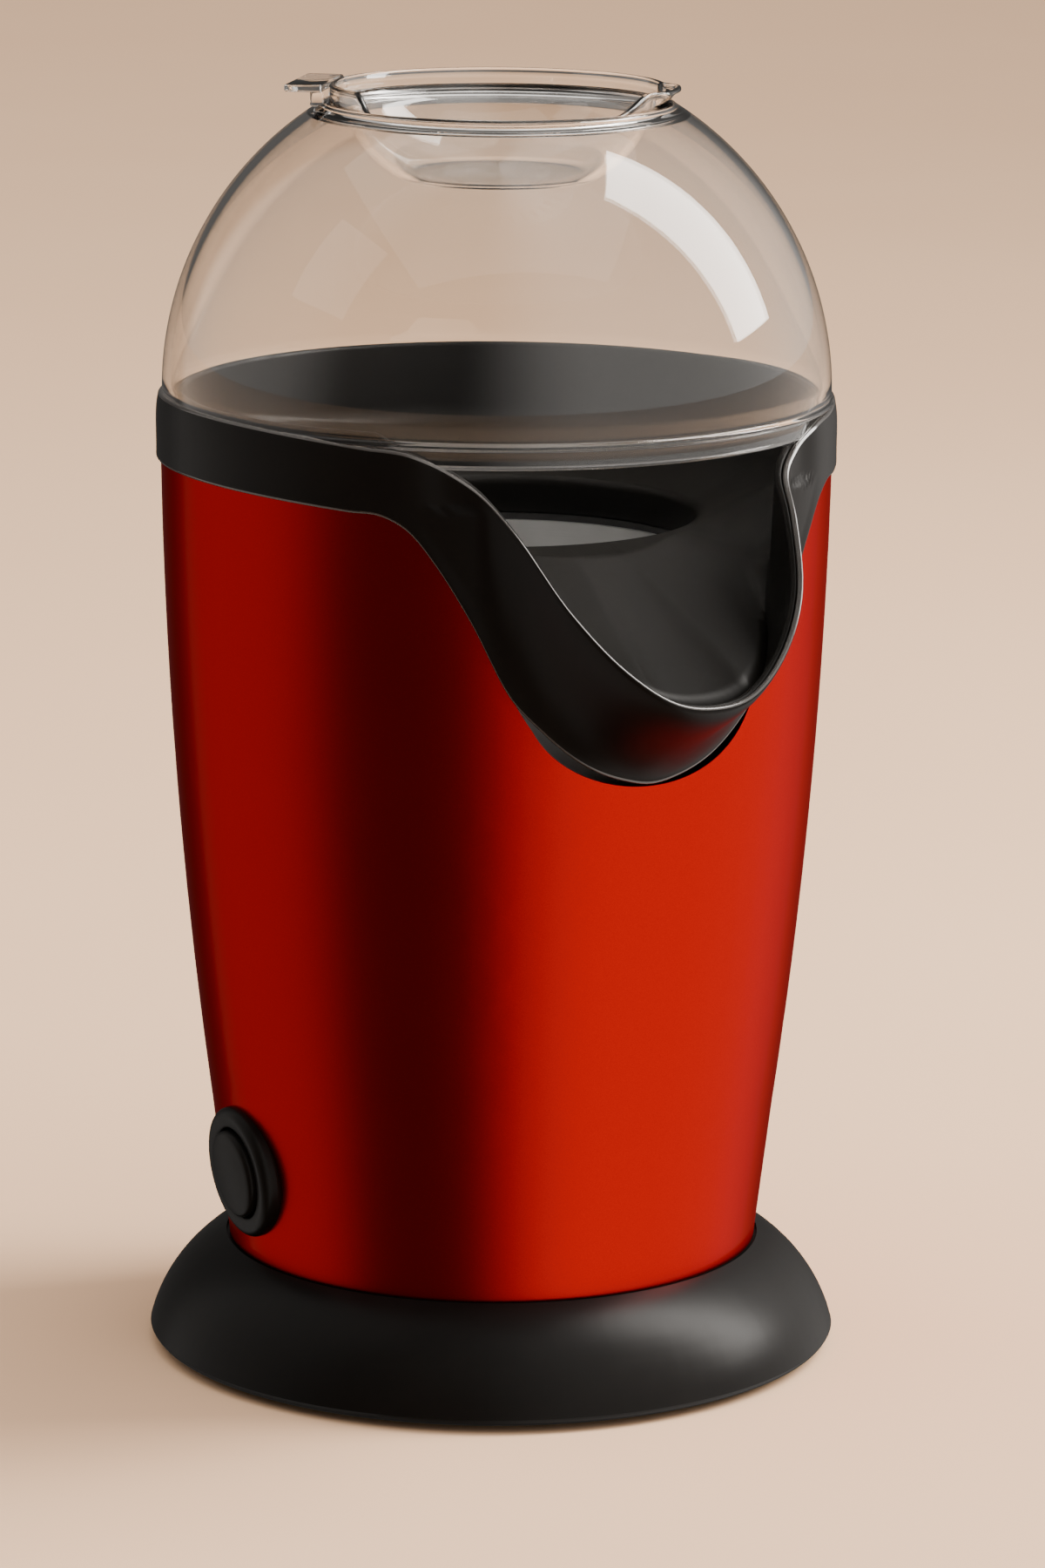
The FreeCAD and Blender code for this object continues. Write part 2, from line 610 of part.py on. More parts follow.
# Base with its floor plate and feet -----------------------------------------------------

base_outline = turned("base_outline", [
    ("deck_mouth", "body_bottom - deck_wall"),
    ("deck_mouth", "body_bottom"),
    ("base_spigot - spigot_wall", "body_bottom"),
    ("base_spigot - spigot_wall", "body_bottom + spigot_height"),
    ("base_spigot", "body_bottom + spigot_height"),
    ("base_spigot", "body_bottom"),
    ("waist_radius", "body_bottom"),
    ("waist_radius", "body_bottom - groove"),
    ("waist_radius + groove", "body_bottom - groove"),
    ("waist_radius + groove", "body_bottom"),
    ("base_radius", "foot_height + base_edge", "-base_curve"),
    ("base_radius - base_turn_in", "foot_height", "-(base_turn_in + 1)"),
    ("base_radius - base_turn_in - base_wall", "foot_height"),
    ("base_radius - base_wall", "foot_height + base_edge + base_wall"),
    ("waist_radius + groove", "body_bottom - deck_wall", "base_curve - base_wall"),
])
floor_bosses = [solid("Cylinder", f"floor_boss_{index}", x, y, "plate_top",
                      Radius="boss_radius", Height="body_bottom - deck_wall - plate_top + 0.5")
                for index, x, y, _ in around(3, "boss_circle", 30)]
inlet_hole = solid("Cylinder", "inlet_hole", y="base_radius + 2", z="bush_height",
                   turn="90", about="x", Radius="bush_radius", Height="bush_length * 2")
inlet_seat = solid("Cylinder", "inlet_seat", y="base_radius + 2", z="bush_height",
                   turn="90", about="x", Radius="bush_flange", Height="bush_length / 2 + 2")
node(cut("base_shell", fuse("base_solid", base_outline, *floor_bosses),
         inlet_hole, inlet_seat,
         *holes("deck_hole", around(4, "screw_circle", 45), "body_bottom - deck_wall - 1", "6"),
         *holes("boss_hole", around(3, "boss_circle", 30), "plate_top - 1", "floor_screw")))

slots = [place(solid("Box", f"air_slot_{index}", Length="slot_outer", Width="slot_width",
                     Height="plate_wall + 2"), z="foot_height - 1", turn=str(angle))
         for index, _, _, angle in around(int(size("slot_count")), "0")]
slot_ring = cut("slot_ring", fuse("slot_star", *slots),
                solid("Cylinder", "slot_hub", Radius="slot_inner", Height="plate_top + 2"))
foot_seats = [solid("Cylinder", f"foot_seat_{index}", x, y, "0",
                    Radius="foot_radius", Height="foot_height + foot_depth")
              for index, x, y, _ in around(4, "foot_circle", 45)]
node(cut("bottom_plate",
         solid("Cylinder", "plate_disc", z="foot_height", Radius="plate_radius",
               Height="plate_wall"),
         slot_ring, *foot_seats,
         *holes("plate_counterbore", around(3, "boss_circle", 30), "0",
                "foot_height + counterbore", "screw_radius * 2"),
         *holes("plate_hole", around(3, "boss_circle", 30), "0", "plate_top + 1")))
node(group("rubber_feet", [
    solid("Cylinder", f"rubber_foot_{index}", x, y, "0",
          Radius="foot_radius", Height="foot_height + foot_depth")
    for index, x, y, _ in around(4, "foot_circle", 45)]))
node(screws("base_screws", around(3, "boss_circle", 30), "foot_height + counterbore",
            "floor_screw", head_up=False))

bush_body = solid("Cylinder", "bush_body", y="base_radius - bush_inset", z="bush_height", turn="90",
                  about="x", Radius="bush_radius", Height="bush_length")
bush_rim = solid("Cylinder", "bush_rim", y="base_radius - bush_inset", z="bush_height", turn="90",
                 about="x", Radius="bush_flange", Height="bush_length / 2 - 2")
bush_drill = solid("Cylinder", "bush_drill", y="base_radius + 2", z="bush_height", turn="90",
                   about="x", Radius="bush_bore", Height="bush_length * 2")
node(cut("cord_inlet_bush", fuse("bush_solid", bush_body, bush_rim), bush_drill))
node(solid("Box", "terminal_block", x="-block_length / 2", y="base_radius - block_inset",
           z="plate_top", Length="block_length", Width="block_width", Height="block_height"))

# Switch --------------------------------------------------------------------------------

bezel_ring = cut("bezel_ring",
                 on_switch_axis(tube("bezel_tube", "bezel_radius", "barrel_radius",
                                     "bezel_wall + 3", "-3")),
                 collar_core)
bezel_barrel = on_switch_axis(tube("bezel_barrel", "barrel_radius",
                                   "button_radius + button_gap", "barrel_depth + bezel_wall",
                                   "-barrel_depth"))
node(fuse("switch_bezel", bezel_ring, bezel_barrel))
button_foot = "(switch_travel + 0.5 - barrel_depth)"
node(on_switch_axis(group("switch_button", [
    solid("Cylinder", "button_round", z=button_foot, Radius="button_radius",
          Height=f"button_proud - {button_foot}")])))
node(on_switch_axis(group("switch_body", [
    solid("Cylinder", "switch_housing", z="-barrel_depth - switch_box", Radius="barrel_radius",
          Height="switch_box")])))
node(on_switch_axis(group("switch_terminals", [
    solid("Box", f"switch_blade_{index}", x="-terminal_width / 2",
          y=f"{side}terminal_place - terminal_wall / 2",
          z="-barrel_depth - switch_box - terminal_length", Length="terminal_width",
          Width="terminal_wall", Height="terminal_length")
    for index, side in enumerate(("-", ""))])))

# Popping chamber -----------------------------------------------------------------------

chamber_wall = turned("chamber_wall", [
    ("0", "chamber_bottom"),
    ("chamber_radius", "chamber_bottom"),
    ("chamber_radius", "chamber_top - chamber_wall"),
    ("flange_radius", "chamber_top - chamber_wall"),
    ("flange_radius", "chamber_top"),
    ("chamber_radius - chamber_wall", "chamber_top"),
    ("chamber_radius - chamber_wall", "chamber_bottom + chamber_wall"),
    ("0", "chamber_bottom + chamber_wall"),
])
vents = [place(solid("Box", f"vent_{index}", Length="vent_outer", Width="vent_width",
                     Height="chamber_wall + 2"), z="chamber_bottom - 1", turn=str(angle))
         for index, _, _, angle in around(int(size("vent_count")), "0")]
vent_ring = cut("vent_ring", fuse("vent_star", *vents),
                solid("Cylinder", "vent_hub", Radius="vent_inner",
                      Height="chamber_bottom + chamber_wall + 2"))
node(cut("popping_chamber", chamber_wall, vent_ring,
         *holes("chamber_hole", around(3, "chamber_circle", 90), "chamber_top - 3", "6")))
node(cut("chamber_gasket",
         tube("gasket_ring", "flange_radius", "mouth_radius", "gasket_wall", "chamber_top"),
         *holes("gasket_hole", around(3, "chamber_circle", 90), "chamber_top - 1", "6")))
node(screws("chamber_screws", around(3, "chamber_circle", 90), "chamber_top - chamber_wall",
            "screw_length", head_up=False))

# Heater --------------------------------------------------------------------------------

node(tube("heater_tube", "tube_radius", "tube_radius - tube_wall",
          "chamber_bottom - housing_top", "housing_top"))
boards = []
for index, turn in enumerate(("0", "90")):
    boards.append(place(fuse(
        f"mica_board_{index}",
        solid("Box", f"mica_panel_{index}", x="-coil_radius - 1", y="-mica_wall / 2",
              Length="2 * coil_radius + 2", Width="mica_wall", Height="mica_height"),
        solid("Box", f"mica_foot_{index}", x="-tube_radius + tube_wall + 0.2",
              y="-mica_wall / 2", Length="2 * (tube_radius - tube_wall - 0.2)",
              Width="mica_wall", Height="mica_foot")), z="mica_bottom", turn=turn))
coil_places = [f"mica_bottom + coil_lift + {index} * coil_pitch"
               for index in range(int(size("coil_turns")))]
notches = [solid("Torus", f"coil_notch_{index}", z=z, Radius1="coil_radius",
                 Radius2="wire_radius + 0.1") for index, z in enumerate(coil_places)]
node(cut("mica_frame", fuse("mica_cross", *boards), *notches))
node(group("heater_coil", [
    solid("Torus", f"coil_turn_{index}", z=z, Radius1="coil_radius", Radius2="wire_radius")
    for index, z in enumerate(coil_places)]))
node(solid("Cylinder", "thermal_fuse", x="fuse_place", y="mica_wall / 2 + fuse_radius",
           z="mica_bottom + fuse_lift", turn="90", about="y", Radius="fuse_radius",
           Height="fuse_length"))
node(solid("Cylinder", "thermostat", x="tube_radius", z="chamber_bottom - thermostat_drop", turn="90",
           about="y", Radius="thermostat_radius", Height="thermostat_depth"))

# Fan housing and fan ---------------------------------------------------------------------

housing_outline = turned("housing_outline", [
    ("housing_inner", "body_bottom"),
    ("housing_flange", "body_bottom"),
    ("housing_flange", "body_bottom + housing_wall"),
    ("housing_radius", "body_bottom + housing_wall"),
    ("housing_radius", "housing_top - housing_wall"),
    ("tube_radius + 2", "housing_top - housing_wall"),
    ("tube_radius + 2", "housing_top"),
    ("housing_inner", "housing_top"),
    ("housing_inner", "motor_plate + housing_wall"),
    ("bearing_radius", "motor_plate + housing_wall"),
    ("bearing_radius", "motor_plate"),
    ("housing_inner", "motor_plate"),
])
node(cut("fan_housing", housing_outline,
         *holes("air_hole", around(int(size("air_count")), "air_circle"), "motor_plate - 1",
                "housing_wall + 2", "air_hole"),
         *holes("flange_hole", around(4, "screw_circle", 45), "body_bottom - 1", "6"),
         *holes("motor_bolt_hole", around(2, "motor_circle"), "motor_plate - 1", "6")))
node(screws("housing_screws", around(4, "screw_circle", 45), "body_bottom + housing_wall",
            "housing_screw"))

fan = turned("fan_impeller", [
    ("shaft_radius", "fan_bottom"),
    ("hub_radius", "fan_bottom"),
    ("hub_radius", "fan_top"),
    ("shaft_radius", "fan_top"),
])
lean = "(fan_height / 2 - 1) * tan(blade_pitch * 1deg)"
blade = fan.newObject("PartDesign::Pad", "blade")
blade.Profile = body_sketch(fan, "blade_outline", "YZ_Plane", [
    (f"-{lean}", "fan_bottom + 1"),
    (f"blade_wall - {lean}", "fan_bottom + 1"),
    (f"blade_wall + {lean}", "fan_top - 1"),
    (lean, "fan_top - 1"),
])
bind(blade, Length="fan_radius")
blades = fan.newObject("PartDesign::PolarPattern", "blades")
blades.Originals = [blade]
blades.Axis = (fan.Origin.OriginFeatures[2], [""])
blades.Angle = 360
bind(blades, Occurrences="blade_count")
fan.Tip = blades
bore = fan.newObject("PartDesign::Groove", "fan_bore")
bore_outline = body_sketch(fan, "bore_outline", "XZ_Plane", [
    ("0", "fan_bottom - 1"),
    ("shaft_radius", "fan_bottom - 1"),
    ("shaft_radius", "fan_top + 1"),
    ("0", "fan_top + 1"),
])
bore.Profile = bore_outline
bore.ReferenceAxis = (bore_outline, ["V_Axis"])
bore.Angle = 360
node(fan)
nut = doc.addObject("Part::Prism", "nut_hexagon")
nut.Polygon = 6
bind(nut, Circumradius="shaft_radius * 2", Height="nut_height")
place(nut, z="fan_top")
node(cut("impeller_nut", nut,
         solid("Cylinder", "nut_thread", z="fan_bottom", Radius="shaft_radius",
               Height="fan_height * 2")))

# Motor ---------------------------------------------------------------------------------

node(solid("Cylinder", "motor_shaft", z="motor_bottom - shaft_end", Radius="shaft_radius",
           Height="fan_top + nut_height + shaft_end - motor_bottom + shaft_end"))
motor_can = turned("can_outline", [
    ("bearing_radius", "motor_plate"),
    ("bearing_radius", "motor_plate - motor_wall"),
    ("magnet_radius", "motor_plate - motor_wall"),
    ("magnet_radius", "motor_bottom"),
    ("motor_radius", "motor_bottom"),
    ("motor_radius", "motor_plate"),
])
node(cut("motor_can", motor_can,
         *holes("can_hole", around(2, "motor_circle"), "motor_plate - 3", "6")))
node(turned("motor_end_cap", [
    ("bearing_radius", "motor_bottom"),
    ("magnet_radius", "motor_bottom"),
    ("magnet_radius", "motor_bottom + motor_wall * 2"),
    ("bearing_radius", "motor_bottom + motor_wall * 2"),
]))
node(group("motor_bearings", [
    tube(f"motor_bearing_{index}", "bearing_radius", "shaft_radius + shaft_gap",
         "bearing_height", z)
    for index, z in enumerate(("motor_bottom", "motor_plate - bearing_height"))]))
magnet_height = "motor_height - motor_wall * 5"
node(cut("motor_magnets",
         tube("magnet_ring", "magnet_radius", "magnet_radius - magnet_wall", magnet_height,
              "motor_bottom + motor_wall * 3"),
         solid("Box", "magnet_split", x="-motor_radius", y="-4", z="motor_bottom",
               Length="motor_radius * 2", Width="8", Height="motor_height")))
armature_slots = [solid("Cylinder", f"armature_slot_{index}", x, y, "motor_bottom",
                        Radius="2.4", Height="motor_height")
                  for index, x, y, _ in around(3, "armature_radius", 90)]
node(cut("motor_armature",
         tube("armature_round", "armature_radius", "shaft_radius",
              "motor_height - bearing_height * 2 - 2", "motor_bottom + bearing_height + 1"),
         *armature_slots))
node(screws("motor_screws", around(2, "motor_circle"), "motor_plate + housing_wall",
            "motor_screw"))
board_bottom = "motor_bottom - board_gap - board_wall"
node(solid("Cylinder", "rectifier_board", z=board_bottom, Radius="board_radius",
           Height="board_wall"))
node(group("rectifier_diodes", [
    solid("Cylinder", f"diode_{index}", x=f"{x} - diode_length / 2", y=y,
          z="motor_bottom - board_gap + diode_radius", turn="90", about="y",
          Radius="diode_radius", Height="diode_length")
    for index, (x, y) in enumerate((x, y) for x in ("-diode_across", "diode_across")
                                for y in ("-diode_along", "diode_along"))]))
node(group("motor_terminals", [
    solid("Box", f"motor_blade_{index}", x=f"{side}motor_blade_place - terminal_wall / 2",
          y="-motor_blade_width / 2", z="motor_bottom - board_gap", Length="terminal_wall",
          Width="motor_blade_width", Height="board_gap")
    for index, side in enumerate(("-", ""))]))

# Check and write -----------------------------------------------------------------------

doc.recompute()
broken = [item.Name for item in doc.Objects if {"Invalid", "Error"} & set(item.State)]
broken += [item.Name for item in NODES if item.Shape.isNull() or not item.Shape.isValid()]
if broken:
    raise SystemExit("these did not build: " + ", ".join(broken))

os.makedirs("parts", exist_ok=True)
for item in NODES:
    item.Shape.exportStep(f"parts/{item.Label}.step")
    print(f"{item.Label:20s} {len(item.Shape.Solids):3d} solids {item.Shape.Volume:12.1f} mm3")
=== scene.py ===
# The looks of a hot-air popcorn maker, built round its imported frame. The scene is in metres; the
# pieces' own sizes are in millimetres, and MM or around_axis() turns them into metres.
import math

import bmesh
import bpy
import numpy as np
from mathutils import Matrix, Vector


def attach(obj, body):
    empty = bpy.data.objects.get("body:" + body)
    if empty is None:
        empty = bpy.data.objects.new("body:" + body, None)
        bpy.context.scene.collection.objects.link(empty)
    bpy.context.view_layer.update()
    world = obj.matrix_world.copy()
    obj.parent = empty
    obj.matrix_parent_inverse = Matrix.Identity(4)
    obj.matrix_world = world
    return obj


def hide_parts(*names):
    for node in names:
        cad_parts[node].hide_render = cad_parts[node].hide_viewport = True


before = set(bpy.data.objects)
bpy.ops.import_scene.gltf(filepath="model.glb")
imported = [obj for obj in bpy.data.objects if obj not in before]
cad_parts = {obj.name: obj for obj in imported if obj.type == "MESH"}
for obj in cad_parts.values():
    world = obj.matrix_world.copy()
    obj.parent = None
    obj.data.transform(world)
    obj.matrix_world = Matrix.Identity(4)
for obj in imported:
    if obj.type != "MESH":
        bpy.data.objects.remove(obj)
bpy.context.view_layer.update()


# ---- Camera -------------------------------------------------------------------------------------
# A telephoto about a metre and a half away, and half as high again as the popcorn maker. It stands
# to the left of the chute, looks down at the body and is tipped by less than half a degree.
CAMERA_SIDE = math.radians(-27.5)
CAMERA_REACH = 1.4593
CAMERA_HEIGHT = 0.4528
CAMERA_TURN = math.radians(0.263)
CAMERA_DOWN = math.radians(12.265)
CAMERA_TIP = math.radians(0.411)
camera = bpy.data.objects.new("camera", bpy.data.cameras.new("camera"))
camera.data.lens = 143.7
camera.data.sensor_width = 36
camera.data.clip_start = 0.05
camera.location = (math.sin(CAMERA_SIDE) * CAMERA_REACH,
                   -math.cos(CAMERA_SIDE) * CAMERA_REACH, CAMERA_HEIGHT)
camera.rotation_mode = "QUATERNION"
camera.rotation_quaternion = (
    Matrix.Rotation(CAMERA_SIDE - CAMERA_TURN, 3, "Z")
    @ Matrix.Rotation(math.pi / 2 - CAMERA_DOWN, 3, "X")
    @ Matrix.Rotation(CAMERA_TIP, 3, "Z")
).to_quaternion()
bpy.context.scene.collection.objects.link(camera)
bpy.context.scene.camera = camera


# ---- Studio -------------------------------------------------------------------------------------
# A pale matt floor that isn't mirrored, in a round studio: tall banks of light to the right and the
# left, and a dim wall between. Soft boxes hang to the right, to the left and overhead; only the
# right one shows in gloss. Sides are in degrees round the body from the spout.
class Wire:
    """A shader socket that takes sums: operators add Math nodes, node() adds any other node."""

    def __init__(self, socket):
        self.socket = socket
        self.tree = socket.id_data

    def node(self, kind, settings=None, sockets=None, output=0):
        made = self.tree.nodes.new("ShaderNode" + kind)
        for name, value in (settings or {}).items():
            setattr(made, name, value)
        for name, value in (sockets or {}).items():
            if isinstance(value, Wire):
                self.tree.links.new(value.socket, made.inputs[name])
            else:
                made.inputs[name].default_value = value
        return Wire(made.outputs[output])

    def math(self, operation, *values):
        return self.node("Math", {"operation": operation}, dict(enumerate(values)))

    def __add__(self, other):
        return self.math("ADD", self, other)

    def __sub__(self, other):
        return self.math("SUBTRACT", self, other)

    def __rsub__(self, other):
        return self.math("SUBTRACT", other, self)

    def __mul__(self, other):
        return self.math("MULTIPLY", self, other)

    __radd__ = __add__
    __rmul__ = __mul__

    def part(self, axis):
        return self.node("SeparateXYZ", None, {0: self}, axis)

    def noise(self, size, detail=2.0):
        """Cloudy values from 0 to 1, with patches about size metres across."""
        return self.node("TexNoise", None, {"Vector": self, "Scale": 1 / size, "Detail": detail})

    def step(self, low, high):
        """0 below low and 1 above high, with a soft change between."""
        settings = {"interpolation_type": "SMOOTHSTEP"}
        return self.node("MapRange", settings, {0: self, 1: low, 2: high})

    def blend(self, first, second):
        """The first colour where this value is 0 and the second where it is 1."""
        colours = {0: self, 6: (*first, 1), 7: (*second, 1)}
        return self.node("Mix", {"data_type": "RGBA"}, colours, 2)

    def bump(self, depth, strength=1.0):
        """A normal from this height, which is depth metres from 0 to 1."""
        return self.node("Bump", None, {"Height": self, "Distance": depth, "Strength": strength})

    def feeds(self, socket):
        self.tree.links.new(self.socket, socket)


def finish(name, **constants):
    """A material, its shader's sockets and the wire that carries places on the piece, in metres."""
    material = bpy.data.materials.new(name)
    material.use_nodes = True
    shader = material.node_tree.nodes["Principled BSDF"].inputs
    for socket, value in constants.items():
        shader[socket.replace("_", " ").title().replace("Ior", "IOR")].default_value = value
    place = material.node_tree.nodes.new("ShaderNodeTexCoord").outputs["Object"]
    return material, shader, Wire(place)


FLOOR_REACH, PAPER_PATCH = 14, 0.35
WARM_WHITE, LAMP_TARGET = (1.0, 0.96, 0.91), (0, 0, 0.15)
floor_mesh = bmesh.new()
bmesh.ops.create_circle(floor_mesh, cap_ends=True, radius=FLOOR_REACH, segments=96)
floor_data = bpy.data.meshes.new("floor")
floor_mesh.to_mesh(floor_data)
floor_mesh.free()
floor = bpy.data.objects.new("floor", floor_data)
floor.visible_glossy = False
bpy.context.scene.collection.objects.link(floor)
paper, paper_shader, paper_place = finish("pale_paper", roughness=0.95, specular_ior_level=0.1)
paper_tone = paper_place.noise(PAPER_PATCH).blend((0.76, 0.49, 0.31), (0.80, 0.53, 0.34))
paper_tone.feeds(paper_shader["Base Color"])
floor_data.materials.append(paper)

world = bpy.data.worlds.new("studio")
bpy.context.scene.world = world
world.use_nodes = True
sky = Wire(world.node_tree.nodes.new("ShaderNodeTexCoord").outputs["Generated"])
flat = sky.node("VectorMath", {"operation": "MULTIPLY"}, {0: sky, 1: (1, 1, 0)})
heading = flat.node("VectorMath", {"operation": "NORMALIZE"}, {0: flat})


def bank(side, wide, soft):
    """1 within wide degrees of a side and 0 beyond, with an edge that's twice soft across."""
    side = math.radians(side)
    towards = (math.sin(side), -math.cos(side), 0)
    facing = heading.node("VectorMath", {"operation": "DOT_PRODUCT"}, {0: heading, 1: towards}, 1)
    return facing.step(math.cos(math.radians(wide + soft)), math.cos(math.radians(wide - soft)))


right_bank = bank(50, 64, 28)
left_bank = bank(-137, 40, 19) * bank(-118, 45, 4)
above = sky.part(2).step(0.2, 1.0)
glow = right_bank * 1.45 + left_bank * 0.55 + above * 0.15 + 0.11
wall = world.node_tree.nodes["Background"].inputs
glow.feeds(wall["Strength"])
wall["Color"].default_value = (1.0, 0.95, 0.9, 1)


def soft_box(name, side, height, reach, size, watts, mirrored=True):
    """A rectangular lamp that looks at the popcorn maker's middle, shown in gloss if mirrored."""
    lamp = bpy.data.lights.new(name, "AREA")
    lamp.shape = "RECTANGLE"
    lamp.size, lamp.size_y = size
    lamp.energy = watts
    lamp.color = WARM_WHITE
    holder = bpy.data.objects.new(name, lamp)
    side = math.radians(side)
    holder.location = (math.sin(side) * reach, -math.cos(side) * reach, height)
    aim = Vector(LAMP_TARGET) - holder.location
    holder.rotation_euler = aim.to_track_quat("-Z", "Y").to_euler()
    holder.visible_glossy = mirrored
    bpy.context.scene.collection.objects.link(holder)


soft_box("key_light", 74, 1.15, 1.25, (0.6, 1.5), 62)
soft_box("fill_light", -100, 1.5, 1.7, (0.9, 0.9), 4, False)
soft_box("ceiling_light", -20, 5.0, 0.5, (7.0, 7.0), 210, False)


# ---- Body shell ---------------------------------------------------------------------------------
# The tall outer tube: thin pressed steel under a clear red candy lacquer. It flares out gently
# from the base to the collar, and both its ends are hidden in the black mouldings.
MM = 0.001
FLAKE, ORANGE_PEEL = 0.25 * MM, 9 * MM
candy_red, red_shader, red_place = finish(
    "candy_red_lacquer", metallic=1.0, specular_tint=(0.75, 0.06, 0.05, 1),
    coat_weight=0.1, coat_roughness=0.1
)
flakes = red_place.noise(FLAKE, 1.0)
flakes.blend((0.36, 0.0002, 0.0002), (0.52, 0.0006, 0.0004)).feeds(red_shader["Base Color"])
(red_place.noise(40 * MM) * 0.05 + flakes * 0.06 + 0.25).feeds(red_shader["Roughness"])
red_place.noise(ORANGE_PEEL, 3.0).bump(0.02 * MM, 0.25).feeds(red_shader["Normal"])


def coat(material, *nodes):
    """Gives CAD nodes a finish."""
    for node in nodes:
        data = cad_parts[node].data
        data.materials.clear()
        data.materials.append(material)


coat(candy_red, "body_shell")


# ---- Base ---------------------------------------------------------------------------------------
# The flared foot and the floor plate screwed under it, injection-moulded in black ABS. The skin is
# satin, a little glossier where hands and cloths have polished it.
def black_plastic(name, dark, light, rough, shine=0.11):
    """Moulded black between two tones: rough where it's most polished, with so much shine."""
    material, shader, place = finish(name, specular_ior_level=shine)
    wear = place.noise(22 * MM, 3.0)
    wear.blend(dark, light).feeds(shader["Base Color"])
    (wear * 0.08 + place.noise(2.5 * MM) * 0.04 + rough).feeds(shader["Roughness"])
    place.noise(5 * MM).bump(0.01 * MM, 0.2).feeds(shader["Normal"])
    return material


satin_black = black_plastic("satin_black_abs", (0.003, 0.0027, 0.0025), (0.006, 0.0054, 0.005),
                            0.28)
coat(satin_black, "base_shell", "bottom_plate")


# ---- Collar and spout ---------------------------------------------------------------------------
# One black moulding caps the tube and pours out into the spout. A smooth band sweeps down from the
# ring to the spout's rounded underside, and its rim dips with it. It's pressed on and clipped.
def loft(name, rings, body, material, replaced):
    """A closed skin over rings of points, the last ring joined to the first."""
    rings = np.asarray(rings, float)
    count, around = rings.shape[:2]
    skin = bmesh.new()
    points = [[skin.verts.new(place) for place in ring] for ring in rings]
    for i in range(count):
        for j in range(around):
            corners = (points[i][j], points[i][(j + 1) % around],
                       points[(i + 1) % count][(j + 1) % around], points[(i + 1) % count][j])
            skin.faces.new(corners).smooth = True
    bmesh.ops.recalc_face_normals(skin, faces=skin.faces)
    data = bpy.data.meshes.new(name)
    skin.to_mesh(data)
    skin.free()
    data.materials.append(material)
    piece = bpy.data.objects.new(name, data)
    bpy.context.scene.collection.objects.link(piece)
    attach(piece, body)
    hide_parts(*replaced)
    return piece


def ease(value, low, high):
    """0 below low and 1 above high, with a soft change between."""
    share = np.clip((value - low) / (high - low), 0, 1)
    return share * share * (3 - 2 * share)


def flow(angle, stations):
    """A smooth line through (angle, value) stations, mirrored about angle 0."""
    at = np.array([-stations[1][0]] + [station[0] for station in stations])
    value = np.array([stations[1][1]] + [station[1] for station in stations])
    slope = np.gradient(value, at)
    i = np.clip(np.searchsorted(at, angle, side="right") - 1, 0, len(at) - 2)
    gap = at[i + 1] - at[i]
    t = np.clip((angle - at[i]) / gap, 0, 1)
    return (value[i] * (1 + 2 * t) * (1 - t) ** 2 + slope[i] * gap * t * (1 - t) ** 2
            + value[i + 1] * t * t * (3 - 2 * t) - slope[i + 1] * gap * t * t * (1 - t))


# Heights, tops and the foot are over the table. BODY_CURVE is the radius of the tube's flat arc.
COLLAR_TOP = 228.4
BODY_RADIUS, WAIST_RADIUS, TAPER_RADIUS = 79.1, 63.4, 67.5
BODY_TOP, TAPER_HEIGHT, BODY_FOOT, BODY_CURVE = 215.0, 60.0, 26.0, 1300.0
APRON_STEP = 1.1
COLLAR_WALL, TOE_RADIUS = 1.8, 0.7
REBATE_DEPTH, REBATE_WIDTH = 5.1, 2.2
# Each pair is an angle from the spout, in degrees, and the radius or height there.
RIM_RADIUS = [(0, 107.4), (5, 106.8), (11, 104.0), (17.4, 98.2), (24, 87.6), (29, 80.4),
              (35, 78.3), (41.5, 79.5), (50, 79.6), (180, 79.6)]
RIM_HEIGHT = [(0, 174.0), (5, 175.5), (11, 182.8), (17.4, 195.0), (24, 210.2), (29, 217.6),
              (35, 223.2), (41.5, 227.2), (50, COLLAR_TOP), (180, COLLAR_TOP)]
FOOT_HEIGHT = [(0, 150.6), (5, 151.8), (13, 156.6), (20, 164.6), (25, 172.2), (31.5, 189.5),
               (37, 201.8), (41.5, 209.4), (46, 212.8), (52, 213.4), (180, 213.4)]
# Between these angles the spout's thin wall turns into the ring that holds the dome.
RING_START, RING_END = 40, 50
FACE_POINTS, CROWN_POINTS, TOE_POINTS = 24, 8, 5
TUBE_CLEARANCE = 0.75


def tube_radius(height):
    """The body tube's outer radius at a height: a slanting foot under one long flat arc."""
    chord = np.array([BODY_RADIUS - TAPER_RADIUS, BODY_TOP - TAPER_HEIGHT])
    share = np.clip((height - TAPER_HEIGHT) / chord[1], 0, 1)
    bulge = np.dot(chord, chord) / (2 * BODY_CURVE) * share * (1 - share)
    lean = (TAPER_RADIUS - WAIST_RADIUS) / (TAPER_HEIGHT - BODY_FOOT)
    slant = WAIST_RADIUS + (height - BODY_FOOT) * lean
    return np.where(height < TAPER_HEIGHT, slant, TAPER_RADIUS + chord[0] * share + bulge)


def columns(step_front=1.0, step_back=3.0, front=54.0):
    """Angles round the body in degrees from the spout, closer together at the spout."""
    back = np.linspace(front, 360 - front, int((360 - 2 * front) / step_back) + 1)
    return np.concatenate([np.arange(-front, front, step_front), back[:-1]])


def from_spout(angle):
    """How far an angle is from the spout's, in degrees, on either side."""
    return abs((angle + 180) % 360 - 180)


def around_axis(angle, radius, height):
    """The place at an angle from the spout, in metres, from a radius and height in millimetres."""
    turn = math.radians(angle)
    return (radius * math.sin(turn) * MM, -radius * math.cos(turn) * MM, height * MM)


def arc(centre, radius, start, end, count):
    """Points on an arc in a (radius, height) section, between two angles in radians."""
    return [np.array([centre[0] + radius * math.cos(a), centre[1] + radius * math.sin(a)])
            for a in np.linspace(start, end, count)]


